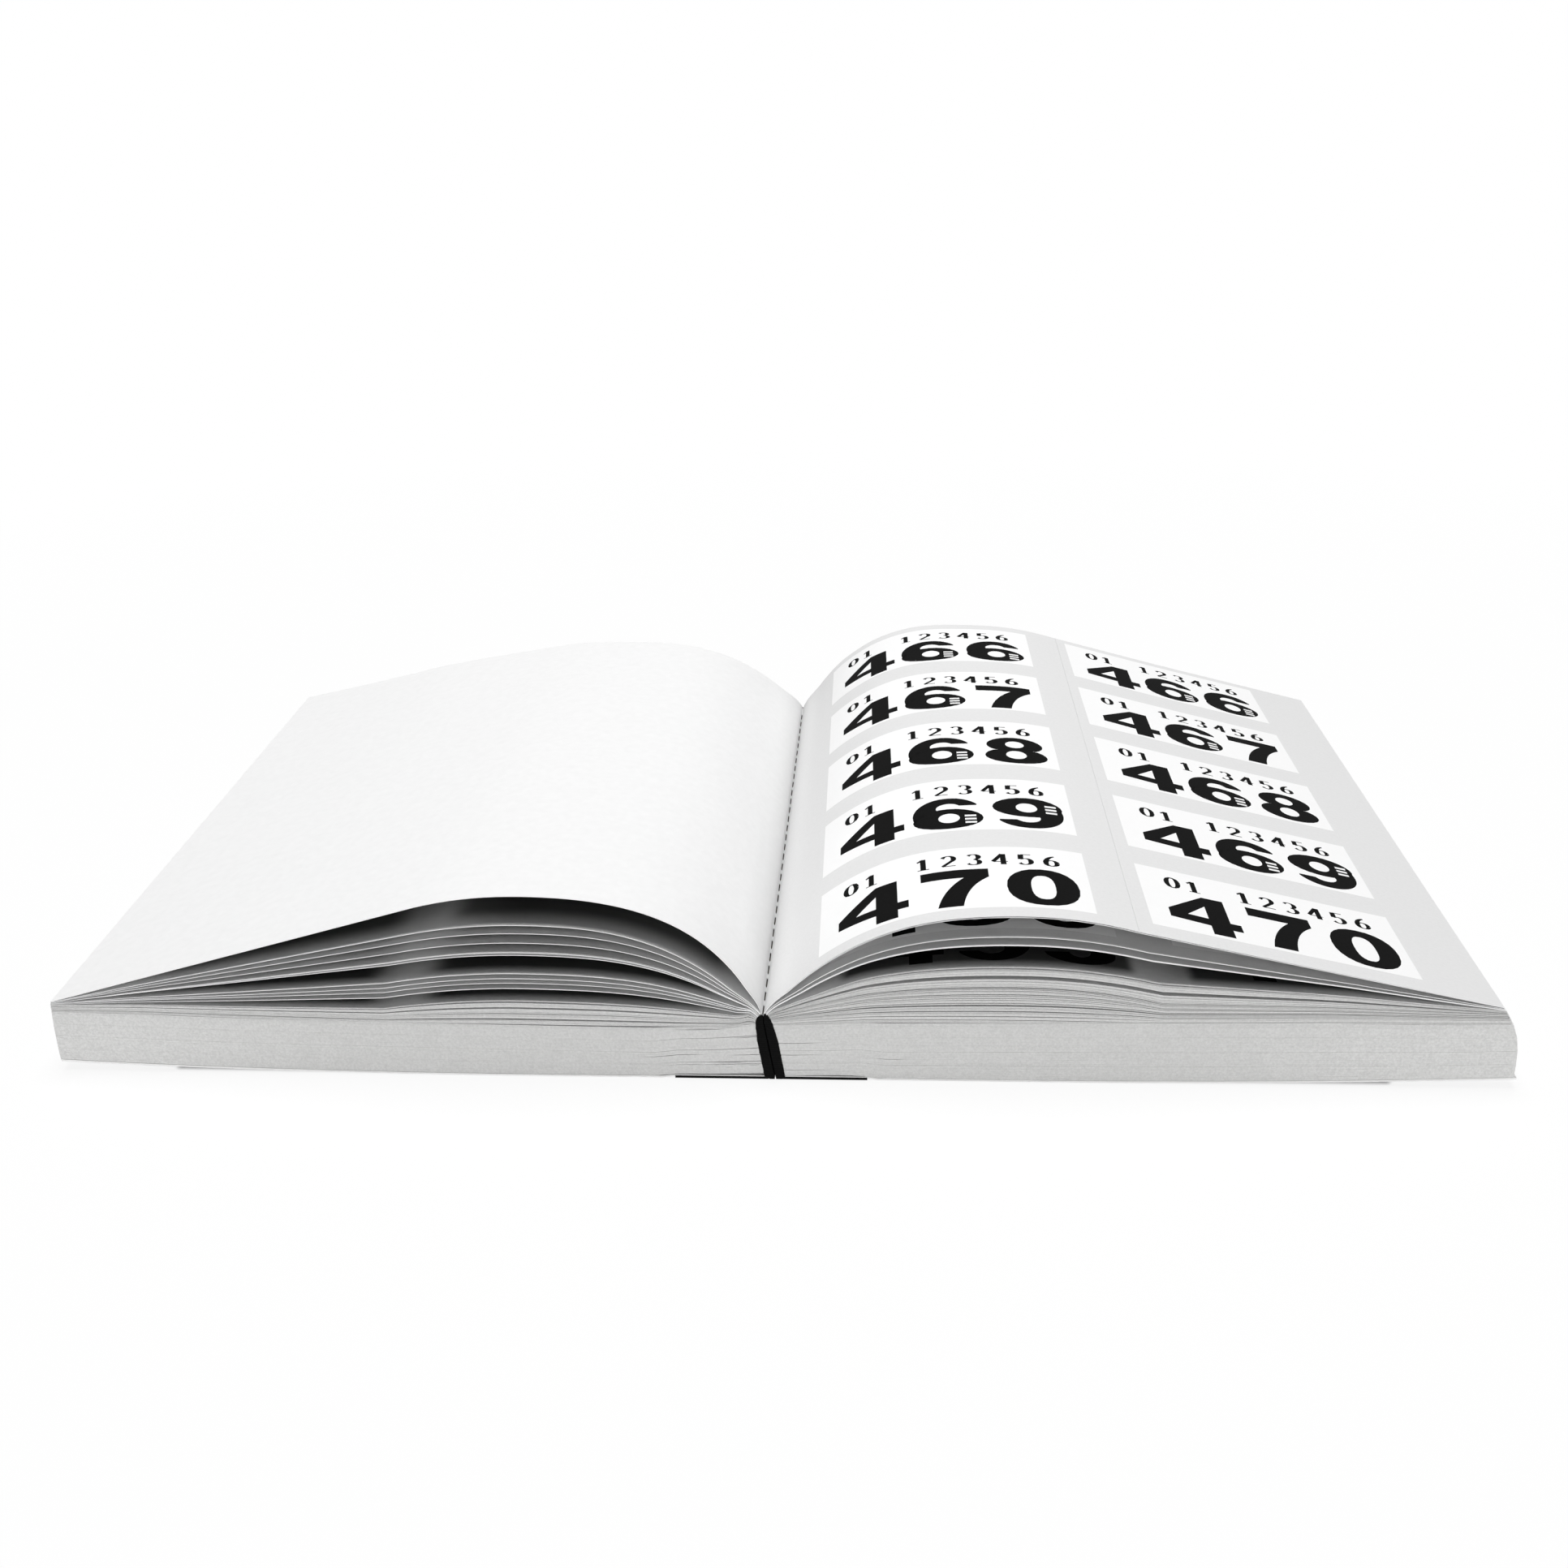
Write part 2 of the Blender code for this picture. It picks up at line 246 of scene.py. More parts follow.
# %% Raised leaves
COVER_TOP = 1 * MM
TIGHT = {"left": 5, "right": 10}
OPEN_PAGES = {"left": ("facing_leaf",), "right": ("ticket_leaf", "ticket_column")}
LEFT_RAISE = ((4, 0), (12, 0.1), (25, 0.45), (40, 0.7), (60, 0.75), (83, 0.95), (100, 1.25), (115, 1.1))
RIGHT_RAISE = ((4, 0), (15, 0.9), (34, 1), (60, 0.9), (86, 1), (102, 0.5), (115, 0.3))
RAISES = {"left": MM * np.array(LEFT_RAISE), "right": MM * np.array(RIGHT_RAISE)}


def height(nodes, line, aside, share):
    """Height of the lower (0) or upper (1) line of some nodes, a share of the way to the far end."""
    ends = [np.vstack([outlines(node)[end][line] for node in nodes]) for end in (0, 1)]
    near, far = (np.interp(aside, *end.T) for end in ends)
    return near + (far - near) * share


def raised(points):
    """Points with the leaves of each half drawn up.

    The raise depends on the distance from the spine, and fades to nothing from the near end to the far
    end. It grows in a straight line from the cover to the highest of the tight leaves, and shrinks
    again to nothing at the open page.
    """
    x, y, z = points.T
    share = np.clip((y - NEAR) / (FAR - NEAR), 0, 1)
    lift = 0 * z
    for half, side in SIDES.items():
        turn = height([fan_nodes[half][TIGHT[half] - 1]], 1, x * side, share)
        top = height(OPEN_PAGES[half], 0, x * side, share)
        part = np.minimum((z - COVER_TOP) / (turn - COVER_TOP), (top - z) / (top - turn))
        lift += np.interp(x * side, *RAISES[half].T) * np.clip(part, 0, 1)
    return np.column_stack((x, y, z + lift * (1 - share)))


for half in SIDES:
    print(half, "leaves raised by up to", round(RAISES[half][:, 1].max() / MM, 2), "mm")

# %% [markdown]
# ## Closed sheets
#
# Paper, card, tape and even printed ink are thin sheets with two faces and an edge. One function
# closes the space between two grids with a wall of quads all round. A second one joins such sheets
# into a piece. The alternative, a single face with a Solidify modifier, can't give the two sides of a
# leaf different print.

# %% Sheets and pieces
UPPER, LOWER, EDGE, INKED = 0, 1, 2, 3
SHARP_ANGLE = math.radians(40)


def quads(rows):
    """Faces between neighbouring rows and columns of a grid of vertex numbers."""
    return np.stack((rows[:-1, :-1], rows[1:, :-1], rows[1:, 1:], rows[:-1, 1:]), axis=-1).reshape(-1, 4)


def wall(low, up):
    """Upright faces between a lower and an upper run of vertex numbers."""
    return np.stack((low[:-1], low[1:], up[1:], up[:-1]), axis=-1)


def closed_sheet(upper, lower, page=None, ring=False, surface=None):
    """A closed sheet between two grids of points; a ring's last row joins its first.

    Returns its points, its faces, which surface each face counts as, and the place on the page of each
    point. The volume under each face, a sixth of a triple product of its corners, adds up to the
    sheet's volume; if that is negative the faces look inward and are turned round.
    """
    rows, columns = upper.shape[:2]
    top = np.arange(rows * columns).reshape(rows, columns)
    if ring:
        top = np.vstack((top, top[:1]))
    low = top + rows * columns
    walls = [wall(low[:, 0], top[:, 0]), wall(low[::-1, -1], top[::-1, -1])]
    if not ring:
        walls += [wall(low[0, ::-1], top[0, ::-1]), wall(low[-1], top[-1])]
    faces = [quads(top), quads(low)[:, ::-1], np.vstack(walls)]
    kinds = (UPPER, LOWER, EDGE) if surface is None else (surface,) * 3
    surfaces = np.repeat(kinds, [len(f) for f in faces])
    faces = np.vstack(faces)
    points = np.concatenate((upper.reshape(-1, 3), lower.reshape(-1, 3)))
    a, b, c, d = np.moveaxis(points[faces] - points.mean(axis=0), 1, 0)
    if np.sum(a * (np.cross(b, c) + np.cross(c, d))) < 0:
        faces = faces[:, ::-1]
    page = np.zeros((rows, columns, 2)) if page is None else page
    return points, faces, surfaces, np.tile(page.reshape(-1, 2), (2, 1))


def add_piece(name, sheets, finishes):
    """One object made of closed sheets, whose finishes are listed in the order of the surfaces."""
    starts = np.cumsum([0] + [len(s[0]) for s in sheets[:-1]])
    points = askew(raised(np.concatenate([s[0] for s in sheets])))
    faces = np.concatenate([s[1] + start for s, start in zip(sheets, starts)])
    surfaces = np.concatenate([s[2] for s in sheets])
    page = np.concatenate([s[3] for s in sheets])
    mesh = bpy.data.meshes.new(name)
    mesh.from_pydata(points.tolist(), [], faces.tolist())
    for material in finishes:
        mesh.materials.append(material)
    mesh.polygons.foreach_set("material_index", np.minimum(surfaces, len(finishes) - 1).astype(np.int32))
    mesh.polygons.foreach_set("use_smooth", np.ones(len(faces), bool))
    mesh.set_sharp_from_angle(angle=SHARP_ANGLE)
    place = mesh.uv_layers.new(name="page")
    place.uv.foreach_set("vector", page[faces.ravel()].astype(np.float32).ravel())
    mesh.update()
    piece = bpy.data.objects.new(name, mesh)
    bpy.context.scene.collection.objects.link(piece)
    return piece


print("a leaf's surfaces: upper", UPPER, "lower", LOWER, "edge", EDGE, "ink", INKED)

# %% [markdown]
# ## Finishes
#
# Colours are written as they would be picked from a picture, in sRGB, and turned to the linear
# values that shaders work in. One small function adds a node and gives its output to the next. Most
# patterns use Object coordinates, so their scale is one over a real size in metres; print follows the
# leaf, so it uses the page map, where one unit is a metre of paper. A Mix node has sockets for numbers,
# vectors and colours, so those for colours are named by their places.

# %% Finish helpers
MIX_FIRST, MIX_SECOND, MIXED = 6, 7, 2


def linear(code):
    """An sRGB hex colour as linear values: c / 12.92 near black, else ((c + 0.055) / 1.055) ** 2.4."""
    c = np.array([int(code[k:k + 2], 16) for k in (1, 3, 5)]) / 255
    c = np.where(c <= 0.04045, c / 12.92, ((c + 0.055) / 1.055) ** 2.4)
    return (*c.tolist(), 1.0)


def connect(tree, node, inputs):
    """Sets a node's inputs, or links those whose value is another node's output.

    They are a row in the node's own order, or a dictionary of their names or places.
    """
    for name, value in inputs.items() if isinstance(inputs, dict) else enumerate(inputs):
        if isinstance(value, bpy.types.NodeSocket):
            tree.links.new(value, node.inputs[name])
        else:
            node.inputs[name].default_value = value


def add_node(tree, kind, inputs=(), output=0, **settings):
    """Adds one node with its settings and inputs, and gives one of its outputs."""
    node = tree.nodes.new("ShaderNode" + kind)
    for name, value in settings.items():
        setattr(node, name, value)
    connect(tree, node, inputs)
    return node.outputs[output]


def new_finish(name):
    """A new material, its tree of nodes and its Principled shader."""
    material = bpy.data.materials.new(name)
    material.use_nodes = True
    tree = material.node_tree
    return material, tree, tree.nodes["Principled BSDF"]


print("white in sRGB", linear("#FFFFFF")[0], "mid grey", round(linear("#808080")[0], 3))

# %% [markdown]
# ### Paper
#
# Cheap uncoated printing paper is pressed wood pulp: matt, nearly white, with a faint cloudiness
# where the pulp lies thicker. The cloud patches are 1.5 mm and the fibre bump 0.25 mm.

# %% Uncoated paper
NOISE_DETAIL = 3.0
CLOUD = 1.5 * MM
FIBRE, FIBRE_DEPTH = 0.25 * MM, 0.006 * MM
WHITES = ("#FAFAFA", "#F2F2F2")
PAPER = {"Roughness": 0.9, "IOR": 1.45, "Specular IOR Level": 0.1}


def cloudy(tree, size, first, second):
    """A colour that drifts between two others, in soft patches of about the given size."""
    place = add_node(tree, "TexCoord", output="Object")
    drift = add_node(tree, "TexNoise", {"Vector": place, "Scale": 1 / size, "Detail": NOISE_DETAIL})
    inputs = {0: drift, MIX_FIRST: linear(first), MIX_SECOND: linear(second)}
    return add_node(tree, "Mix", inputs, MIXED, data_type="RGBA")


def grained(tree, size, depth):
    """The normals of a surface with soft bumps of about the given size and depth."""
    place = add_node(tree, "TexCoord", output="Object")
    height = add_node(tree, "TexNoise", {"Vector": place, "Scale": 1 / size, "Detail": NOISE_DETAIL})
    return add_node(tree, "Bump", {"Height": height, "Distance": depth, "Strength": 1.0})


blank_paper, tree, shader = new_finish("uncoated_paper")
white = cloudy(tree, CLOUD, *WHITES)
connect(tree, shader, {**PAPER, "Base Color": white, "Normal": grained(tree, FIBRE, FIBRE_DEPTH)})
print(blank_paper.name, "has fibres of", FIBRE / MM, "mm")

# %% [markdown]
# The open pages are greyer where they dip into the gutter, where little light reaches. That is painted
# shade: the paper is darkened along the page map's first direction, from the bound edge outwards.

# %% Paper of the open page
OPEN_SHADE, OPEN_REACH = 0.8, 9 * MM


def page_place(tree):
    """Distances from the bound edge and from the near end, on the page map."""
    page_map = add_node(tree, "UVMap", uv_map="page")
    return add_node(tree, "SeparateXYZ", [page_map]).node.outputs


def gutter_shade(tree, colour, depth, reach):
    """A colour darkened as painted shade to a share of itself at the bound edge, and less so out to a given
    reach.
    """
    inputs = (page_place(tree)["X"], 0.0, reach, depth, 1.0)
    share = add_node(tree, "MapRange", inputs, interpolation_type="SMOOTHERSTEP")
    inputs = {0: share, MIX_FIRST: linear("#000000"), MIX_SECOND: colour}
    return add_node(tree, "Mix", inputs, MIXED, data_type="RGBA")


open_paper, tree, shader = new_finish("uncoated_open_paper")
white = gutter_shade(tree, cloudy(tree, CLOUD, *WHITES), OPEN_SHADE, OPEN_REACH)
connect(tree, shader, {**PAPER, "Base Color": white, "Normal": grained(tree, FIBRE, FIBRE_DEPTH)})
print(open_paper.name, "is grey out to", OPEN_REACH / MM, "mm")

# %% [markdown]
# ### Printed paper
#
# The ticket side is printed with a pale grey screen tint that leaves ten white panels bare, two
# columns of five. On the page map a point is inside a panel if its distance from the bound edge lies
# in one of the two columns, and its distance from the near end, less whole rows, lies in a panel's
# height. Math nodes test that. The inner column sits a little lower on the page, and all of the print
# stands slightly askew to the leaf.

# %% Tint with bare panels
COLUMNS = ((11.8 * MM, 55.9 * MM), (64.7 * MM, 106.9 * MM))
PANEL_FEET = (2.7 * MM, 3.4 * MM)
PANEL_HEIGHT = 19.4 * MM
PANEL_PITCH = 25.6 * MM
PANEL_ROWS = 5
PRINT_SKEW = 0.006
TINT_SHADE, TINT_REACH = 0.9, 6 * MM


def inside(tree, *tests):
    """1 where each value lies between its own two limits, else 0: the product of all the tests."""
    share = 1.0
    for value, low, high in tests:
        for limit, side in ((low, "GREATER_THAN"), (high, "LESS_THAN")):
            passed = add_node(tree, "Math", (value, limit), operation=side)
            share = add_node(tree, "Math", (share, passed), operation="MULTIPLY")
    return share


def in_panel(tree, column):
    """1 in the panels of a column, else 0."""
    place = page_place(tree)
    above_foot = add_node(tree, "Math", (place["Y"], PANEL_FEET[column]), operation="SUBTRACT")
    above_row_foot = add_node(tree, "Math", (above_foot, PANEL_PITCH), operation="FLOORED_MODULO")
    in_row = (above_row_foot, 0.0, PANEL_HEIGHT)
    in_rows = (above_foot, 0.0, PANEL_ROWS * PANEL_PITCH)
    return inside(tree, in_row, in_rows, (place["X"], *COLUMNS[column]))


tint_paper, tree, shader = new_finish("tint_printed_paper")
colour = cloudy(tree, 2 * FIBRE, "#EAEAEA", "#E2E2E2")
bare = cloudy(tree, CLOUD, "#FDFDFD", "#FAFAFA")
for column in (0, 1):
    inputs = {0: in_panel(tree, column), MIX_FIRST: colour, MIX_SECOND: bare}
    colour = add_node(tree, "Mix", inputs, MIXED, data_type="RGBA")
# Painted shade: the tint darkens towards the bound edge, where the page dips into the gutter.
colour = gutter_shade(tree, colour, TINT_SHADE, TINT_REACH)
fibres = grained(tree, FIBRE, FIBRE_DEPTH)
connect(tree, shader, {**PAPER, "Roughness": 0.85, "Base Color": colour, "Normal": fibres})
print(tint_paper.name, "has", len(COLUMNS) * PANEL_ROWS, "bare panels")

# %% [markdown]
# ### Inner paper with painted shade
#
# Seen with strong contrast, the widest gaps between the springing leaves look black, save along the leaves'
# ends and between the two columns of print. White paper would bounce light about in there. So the faces in
# the widest gaps get painted shade: a paper that is white along its ends and quickly darkens, most of all
# in the columns. Farther in, where no one looks, it is white again. The leaf under the facing page shows
# when that is lifted, so its painted shade darkens slowly, to a mid grey.

# %% Inner paper with painted shade
DARK_FROM, DARK_TO = (0.1 * MM, 2.8 * MM), (12 * MM, 24 * MM)
SHADED_FROM = (0.1 * MM, 6 * MM)
LEFT_SHIFT, LEFT_SOFT, RIGHT_SOFT = -4 * MM, 3.5 * MM, 1.5 * MM
BETWEEN_COLUMNS = 0.2


def stepped(tree, *steps):
    """The product of smooth steps: each is a value, its two limits, and what it steps from and to."""
    share = 1.0
    for step in steps:
        rise = add_node(tree, "MapRange", step, interpolation_type="SMOOTHSTEP")
        share = add_node(tree, "Math", (share, rise), operation="MULTIPLY")
    return share


def painted_shade_finish(name, darkest, dark_from, shift, soft):
    """Paper with painted shade: white along its ends, it darkens inwards, most of all in the columns, and
    is white again farther in.

    It darkens between two distances from its ends. The columns' edges are shifted along the page, and
    soft over a given reach.
    """
    material, tree, shader = new_finish(name)
    place = page_place(tree)
    out, along = place["X"], place["Y"]
    from_far = add_node(tree, "Math", (FAR - NEAR, along), operation="SUBTRACT")
    from_end = add_node(tree, "Math", (along, from_far), operation="MINIMUM")
    columns = [
        stepped(tree, (out, start - soft, start + soft, 0.0, 1.0), (out, end - soft, end + soft, 1.0, 0.0))
        for start, end in np.array(COLUMNS) + shift
    ]
    in_columns = add_node(tree, "Math", columns, operation="ADD")
    inwards = (from_end, *dark_from, 0.0, 1.0)
    farther = (from_end, *DARK_TO, 1.0, 0.0)
    dark = stepped(tree, inwards, farther, (in_columns, 0.0, 1.0, BETWEEN_COLUMNS, 1.0))
    inputs = {0: dark, MIX_FIRST: cloudy(tree, CLOUD, *WHITES), MIX_SECOND: linear(darkest)}
    colour = add_node(tree, "Mix", inputs, MIXED, data_type="RGBA")
    fibres = grained(tree, FIBRE, FIBRE_DEPTH)
    connect(tree, shader, {**PAPER, "Specular IOR Level": 0.05, "Base Color": colour, "Normal": fibres})
    return material


# Papers with painted shade, for the faces in the widest gaps and the left leaves' undersides.
painted_shade_papers = {
    "left": painted_shade_finish("left_paper_with_painted_shade", "#585858", DARK_FROM, LEFT_SHIFT, LEFT_SOFT),
    "right": painted_shade_finish("right_paper_with_painted_shade", "#585858", DARK_FROM, 0.0, RIGHT_SOFT),
}
shaded_paper = painted_shade_finish("shaded_inner_paper", "#7C7C7C", SHADED_FROM, LEFT_SHIFT, LEFT_SOFT)
print("dark papers:", ", ".join(paper.name for paper in (*painted_shade_papers.values(), shaded_paper)))

# %% [markdown]
# ### Guillotined edges
#
# The pad is trimmed in one cut, which leaves a grey, slightly furry face of leaf edges. Each leaf is
# modelled, so this finish adds the nap: a fine grain of 0.35 mm over broader, fainter patches. It also
# paints light on the face, which grows lighter towards the fore-edge.

# %% Cut paper edge
NAP, NAP_DEPTH, NAP_DETAIL = 0.35 * MM, 0.03 * MM, 4.0
PATCH = 4 * MM
FORE_EDGE_PAINTED_LIGHT = (60 * MM, 112 * MM, 0.0, 0.45)

cut_edge, tree, shader = new_finish("guillotined_paper_edge")
place = add_node(tree, "TexCoord", output="Object")
nap = add_node(tree, "TexNoise", {"Vector": place, "Scale": 1 / NAP, "Detail": NAP_DETAIL})
aside = add_node(tree, "VectorMath", [place], operation="ABSOLUTE")
aside = add_node(tree, "SeparateXYZ", [aside], "X")
colour = cloudy(tree, PATCH, "#E8E8E7", "#DFDFDE")
# Painted light: from 60 mm out the face grows lighter towards the fore-edge.
for share, tone in ((stepped(tree, (aside, *FORE_EDGE_PAINTED_LIGHT)), "#FCFCFB"), (nap, "#BFBFBE")):
    inputs = {0: share, MIX_FIRST: colour, MIX_SECOND: linear(tone)}
    colour = add_node(tree, "Mix", inputs, MIXED, data_type="RGBA")
fur = add_node(tree, "Bump", {"Height": nap, "Distance": NAP_DEPTH, "Strength": 1.0})
connect(tree, shader, {
    "Base Color": colour,
    "Normal": fur,
    "Roughness": 0.95,
    "IOR": 1.45,
    "Specular IOR Level": 0.05,
})
print(cut_edge.name, "has a nap of", NAP / MM, "mm")

# %% [markdown]
# ### Ink, card, cloth and glue
#
# Letterpress ink is black and a little uneven. The covers are smooth white card. The spine is black book
# cloth, a plain weave of threads 0.35 mm apart, whose threads show as bump. The glue is bone glue, smooth
# and slightly glossy; its dark colour is painted shade, so that the perforation slots over it look dark.

# %% Ink
INK_PATCH = 0.4 * MM

ink, tree, shader = new_finish("black_letterpress_ink")
connect(tree, shader, {
    "Base Color": cloudy(tree, INK_PATCH, "#0C0C0C", "#161616"),
    "Roughness": 0.7,
    "IOR": 1.5,
    "Specular IOR Level": 0.02,
})
print(ink.name, "has patches of", INK_PATCH / MM, "mm")

# %% Card
CARD_PATCH = 2 * MM
CARD_GRAIN, CARD_DEPTH = 0.5 * MM, 0.004 * MM

card, tree, shader = new_finish("white_cover_card")
connect(tree, shader, {
    "Base Color": cloudy(tree, CARD_PATCH, "#F6F6F5", "#ECECEB"),
    "Normal": grained(tree, CARD_GRAIN, CARD_DEPTH),
    "Roughness": 0.6,
    "IOR": 1.5,
    "Specular IOR Level": 0.3,
})
print(card.name, "has a grain of", CARD_GRAIN / MM, "mm")

# %% Cloth
THREAD, THREAD_DEPTH = 0.35 * MM, 0.05 * MM
THREAD_WANDER = 0.4
WAVE_TURNS = 20 / (2 * math.pi)

cloth, tree, shader = new_finish("black_book_cloth")
place = add_node(tree, "TexCoord", output="Object")
inputs = {"Vector": place, "Scale": 1 / (WAVE_TURNS * THREAD), "Distortion": THREAD_WANDER}
threads = [add_node(tree, "TexWave", inputs, "Fac", bands_direction=axis) for axis in "YZ"]
weave = add_node(tree, "Math", threads, operation="MULTIPLY")
inputs = {0: weave, MIX_FIRST: linear("#0A0A0A"), MIX_SECOND: linear("#191919")}
colour = add_node(tree, "Mix", inputs, MIXED, data_type="RGBA")
raised_threads = add_node(tree, "Bump", {"Height": weave, "Distance": THREAD_DEPTH, "Strength": 1.0})
connect(tree, shader, {
    "Base Color": colour,
    "Normal": raised_threads,
    "Roughness": 0.85,
    "IOR": 1.45,
    "Specular IOR Level": 0.05,
})
print(cloth.name, "has threads", THREAD / MM, "mm apart")

# %% Glue
GLUE_PATCH = 1 * MM

# Painted shade: the glue is coloured dark so that the slots over it look dark.
glue, tree, shader = new_finish("bone_glue_painted_dark_as_shade")
connect(tree, shader, {
    "Base Color": cloudy(tree, GLUE_PATCH, "#2A2622", "#3A352F"),
    "Roughness": 0.4,
    "IOR": 1.48,
    "Specular IOR Level": 0.3,
})
print(glue.name, "has patches of", GLUE_PATCH / MM, "mm")

# %% [markdown]
# ## The pressed blocks
#
# Some 160 leaves lie pressed in two blocks. They could be two solid boxes with drawn lines, but the
# cut face of a real pad catches light leaf by leaf. So each leaf is a sheet of its own: it fills nearly
# all of its share of the stack, its edges stand in or out by a hundredth of a millimetre, and here
# and there, mostly near the spine, a leaf lies loose over a stretch and leaves a dark line.

# %% Pressed leaves
SEED = 11
STACK_SHARES = np.linspace(0, 1, 49) ** 1.5
SLIT = 0.3
STACK_CUT = {"left": 0.0, "right": 0.004}
FILL = 0.995
TRIM = 0.008 * MM
LOOSE_CHANCE = {"left": 0.12, "right": 0.03}
LOOSE_MIDDLES, LOOSE_REACHES, LOOSE_OPENINGS = (0, 0.3), (0.005, 0.05), (0.5, 0.95)
random = np.random.default_rng(SEED)


def looseness():
    """Share of a leaf's thickness that a loose stretch leaves open, along the leaf: a flat-topped bump."""
    middle = random.uniform(*LOOSE_MIDDLES) ** 1.5
    reach = random.uniform(*LOOSE_REACHES)
    return random.uniform(*LOOSE_OPENINGS) * np.exp(-(((STACK_SHARES - middle) / reach) ** 4))


def pressed_leaf(lines, half, first, last):
    """One leaf of a stack, between two shares of the stack's thickness."""
    y = np.array((NEAR, FAR)) + random.normal(0, TRIM, 2)
    back = random.normal(0, TRIM)
    loose = looseness() if random.random() < LOOSE_CHANCE[half] else 0 * STACK_SHARES
    leaf = between(lines, first, (first + (last - first) * (FILL - loose))[:, None])
    for line in (line for end in leaf for line in end):
        line[-1, 0] += back
    return closed_sheet(*two_grids(leaf, SIDES[half], y))


def gap(under, over):
    """Height of the gap over each point of a line."""
    return np.interp(under[:, 0], *over.T) - under[:, 1]


def block_lines(half):
    """The lines of all stacks of a half, trimmed a little short on the right.

    Each stack reaches up to the next, or to the fan, but for a slit.
    """
    shares = STACK_SHARES * (1 - STACK_CUT[half])
    block = [[tuple(fair(line, shares) for line in end) for end in outlines(n)] for n in stack_nodes[half]]
    for stack, above in zip(block, block[1:] + [outlines(fan_nodes[half][0])]):
        for (_, up), (over, _) in zip(stack, above):
            up[:, 1] += gap(up, over) * (1 - SLIT)
    return block


def pressed_stack(node, half, lines):
    """All leaves of one stack as one piece."""
    count = leaves_in(node)
    sheets = [pressed_leaf(lines, half, k / count, (k + 1) / count) for k in range(count)]
    return add_piece(f"{node}_leaves", sheets, (blank_paper, blank_paper, cut_edge))


for half in SIDES:
    for node, lines in zip(stack_nodes[half], block_lines(half)):
        stack = pressed_stack(node, half, lines)
        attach(stack, f"{half}_half")
        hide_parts(node)
        print(stack.name, len(stack.data.polygons), "faces")

# %% [markdown]
# ## Numerals
#
# Every ticket carries a big number, with a small serial number above it. A font could draw them, but
# a few strokes are enough: each stroke is the surface ruled between two edge lines, which are straight
# lines or arcs of ovals. A numeral is one unit high and stands on the line y = 0.

# %% Edge lines
BAR_POINTS = 9
CURVE_POINTS = 25


def oval(x, y, rx, ry, start=0.0, end=360.0, squareness=2.0, count=CURVE_POINTS):
    """Points on an oval from one angle to another, in degrees from the right.

    The radii are multiplied by the cosine and sine to the power 2 / squareness, so 2 gives an ellipse
    and more gives fuller corners.
    """
    a = np.radians(np.linspace(start, end, count))
    around = np.column_stack((np.cos(a), np.sin(a)))
    return (x, y) + np.array((rx, ry)) * np.sign(around) * np.abs(around) ** (2 / squareness)


def spread(*runs, count=CURVE_POINTS):
    """Points spread evenly along straight runs and curves joined end to end."""
    line = np.vstack([np.atleast_2d(run) for run in runs]).astype(float)
    run = arc_length(line)
    at = np.linspace(0, run[-1], count)
    return np.column_stack([np.interp(at, run, line[:, k]) for k in (0, 1)])


def bow(start, pull, end):
    """Points on a curve that leaves its start towards a pull point and comes to its end from it."""
    t = np.linspace(0, 1, CURVE_POINTS)[:, None]
    return (1 - t) ** 2 * np.array(start) + 2 * t * (1 - t) * np.array(pull) + t**2 * np.array(end)


def block(a, b, c, d):
    """A four-cornered stroke, corners in turn."""
    return spread(a, b, count=BAR_POINTS), spread(d, c, count=BAR_POINTS)


def box(left, right, foot, top):
    """An upright four-cornered stroke."""
    return block((left, foot), (right, foot), (right, top), (left, top))


def turned(strokes, width):
    """Strokes turned by half a turn, as a 6 becomes a 9."""
    return [tuple((width, 1) - edge for edge in stroke) for stroke in strokes]


def held(edge, low=-np.inf, high=np.inf):
    """An edge held above or below a level, where the two bowls of a numeral meet."""
    return np.column_stack((edge[:, 0], np.clip(edge[:, 1], low, high)))


print("a curve has", CURVE_POINTS, "points, a bar", BAR_POINTS)

# %% [markdown]
# ### The ten big numerals
#
# They are fat and upright, with a heavy 4 and round bowls. Each entry gives a numeral's width and its
# strokes. The 9 is the 6 turned over.

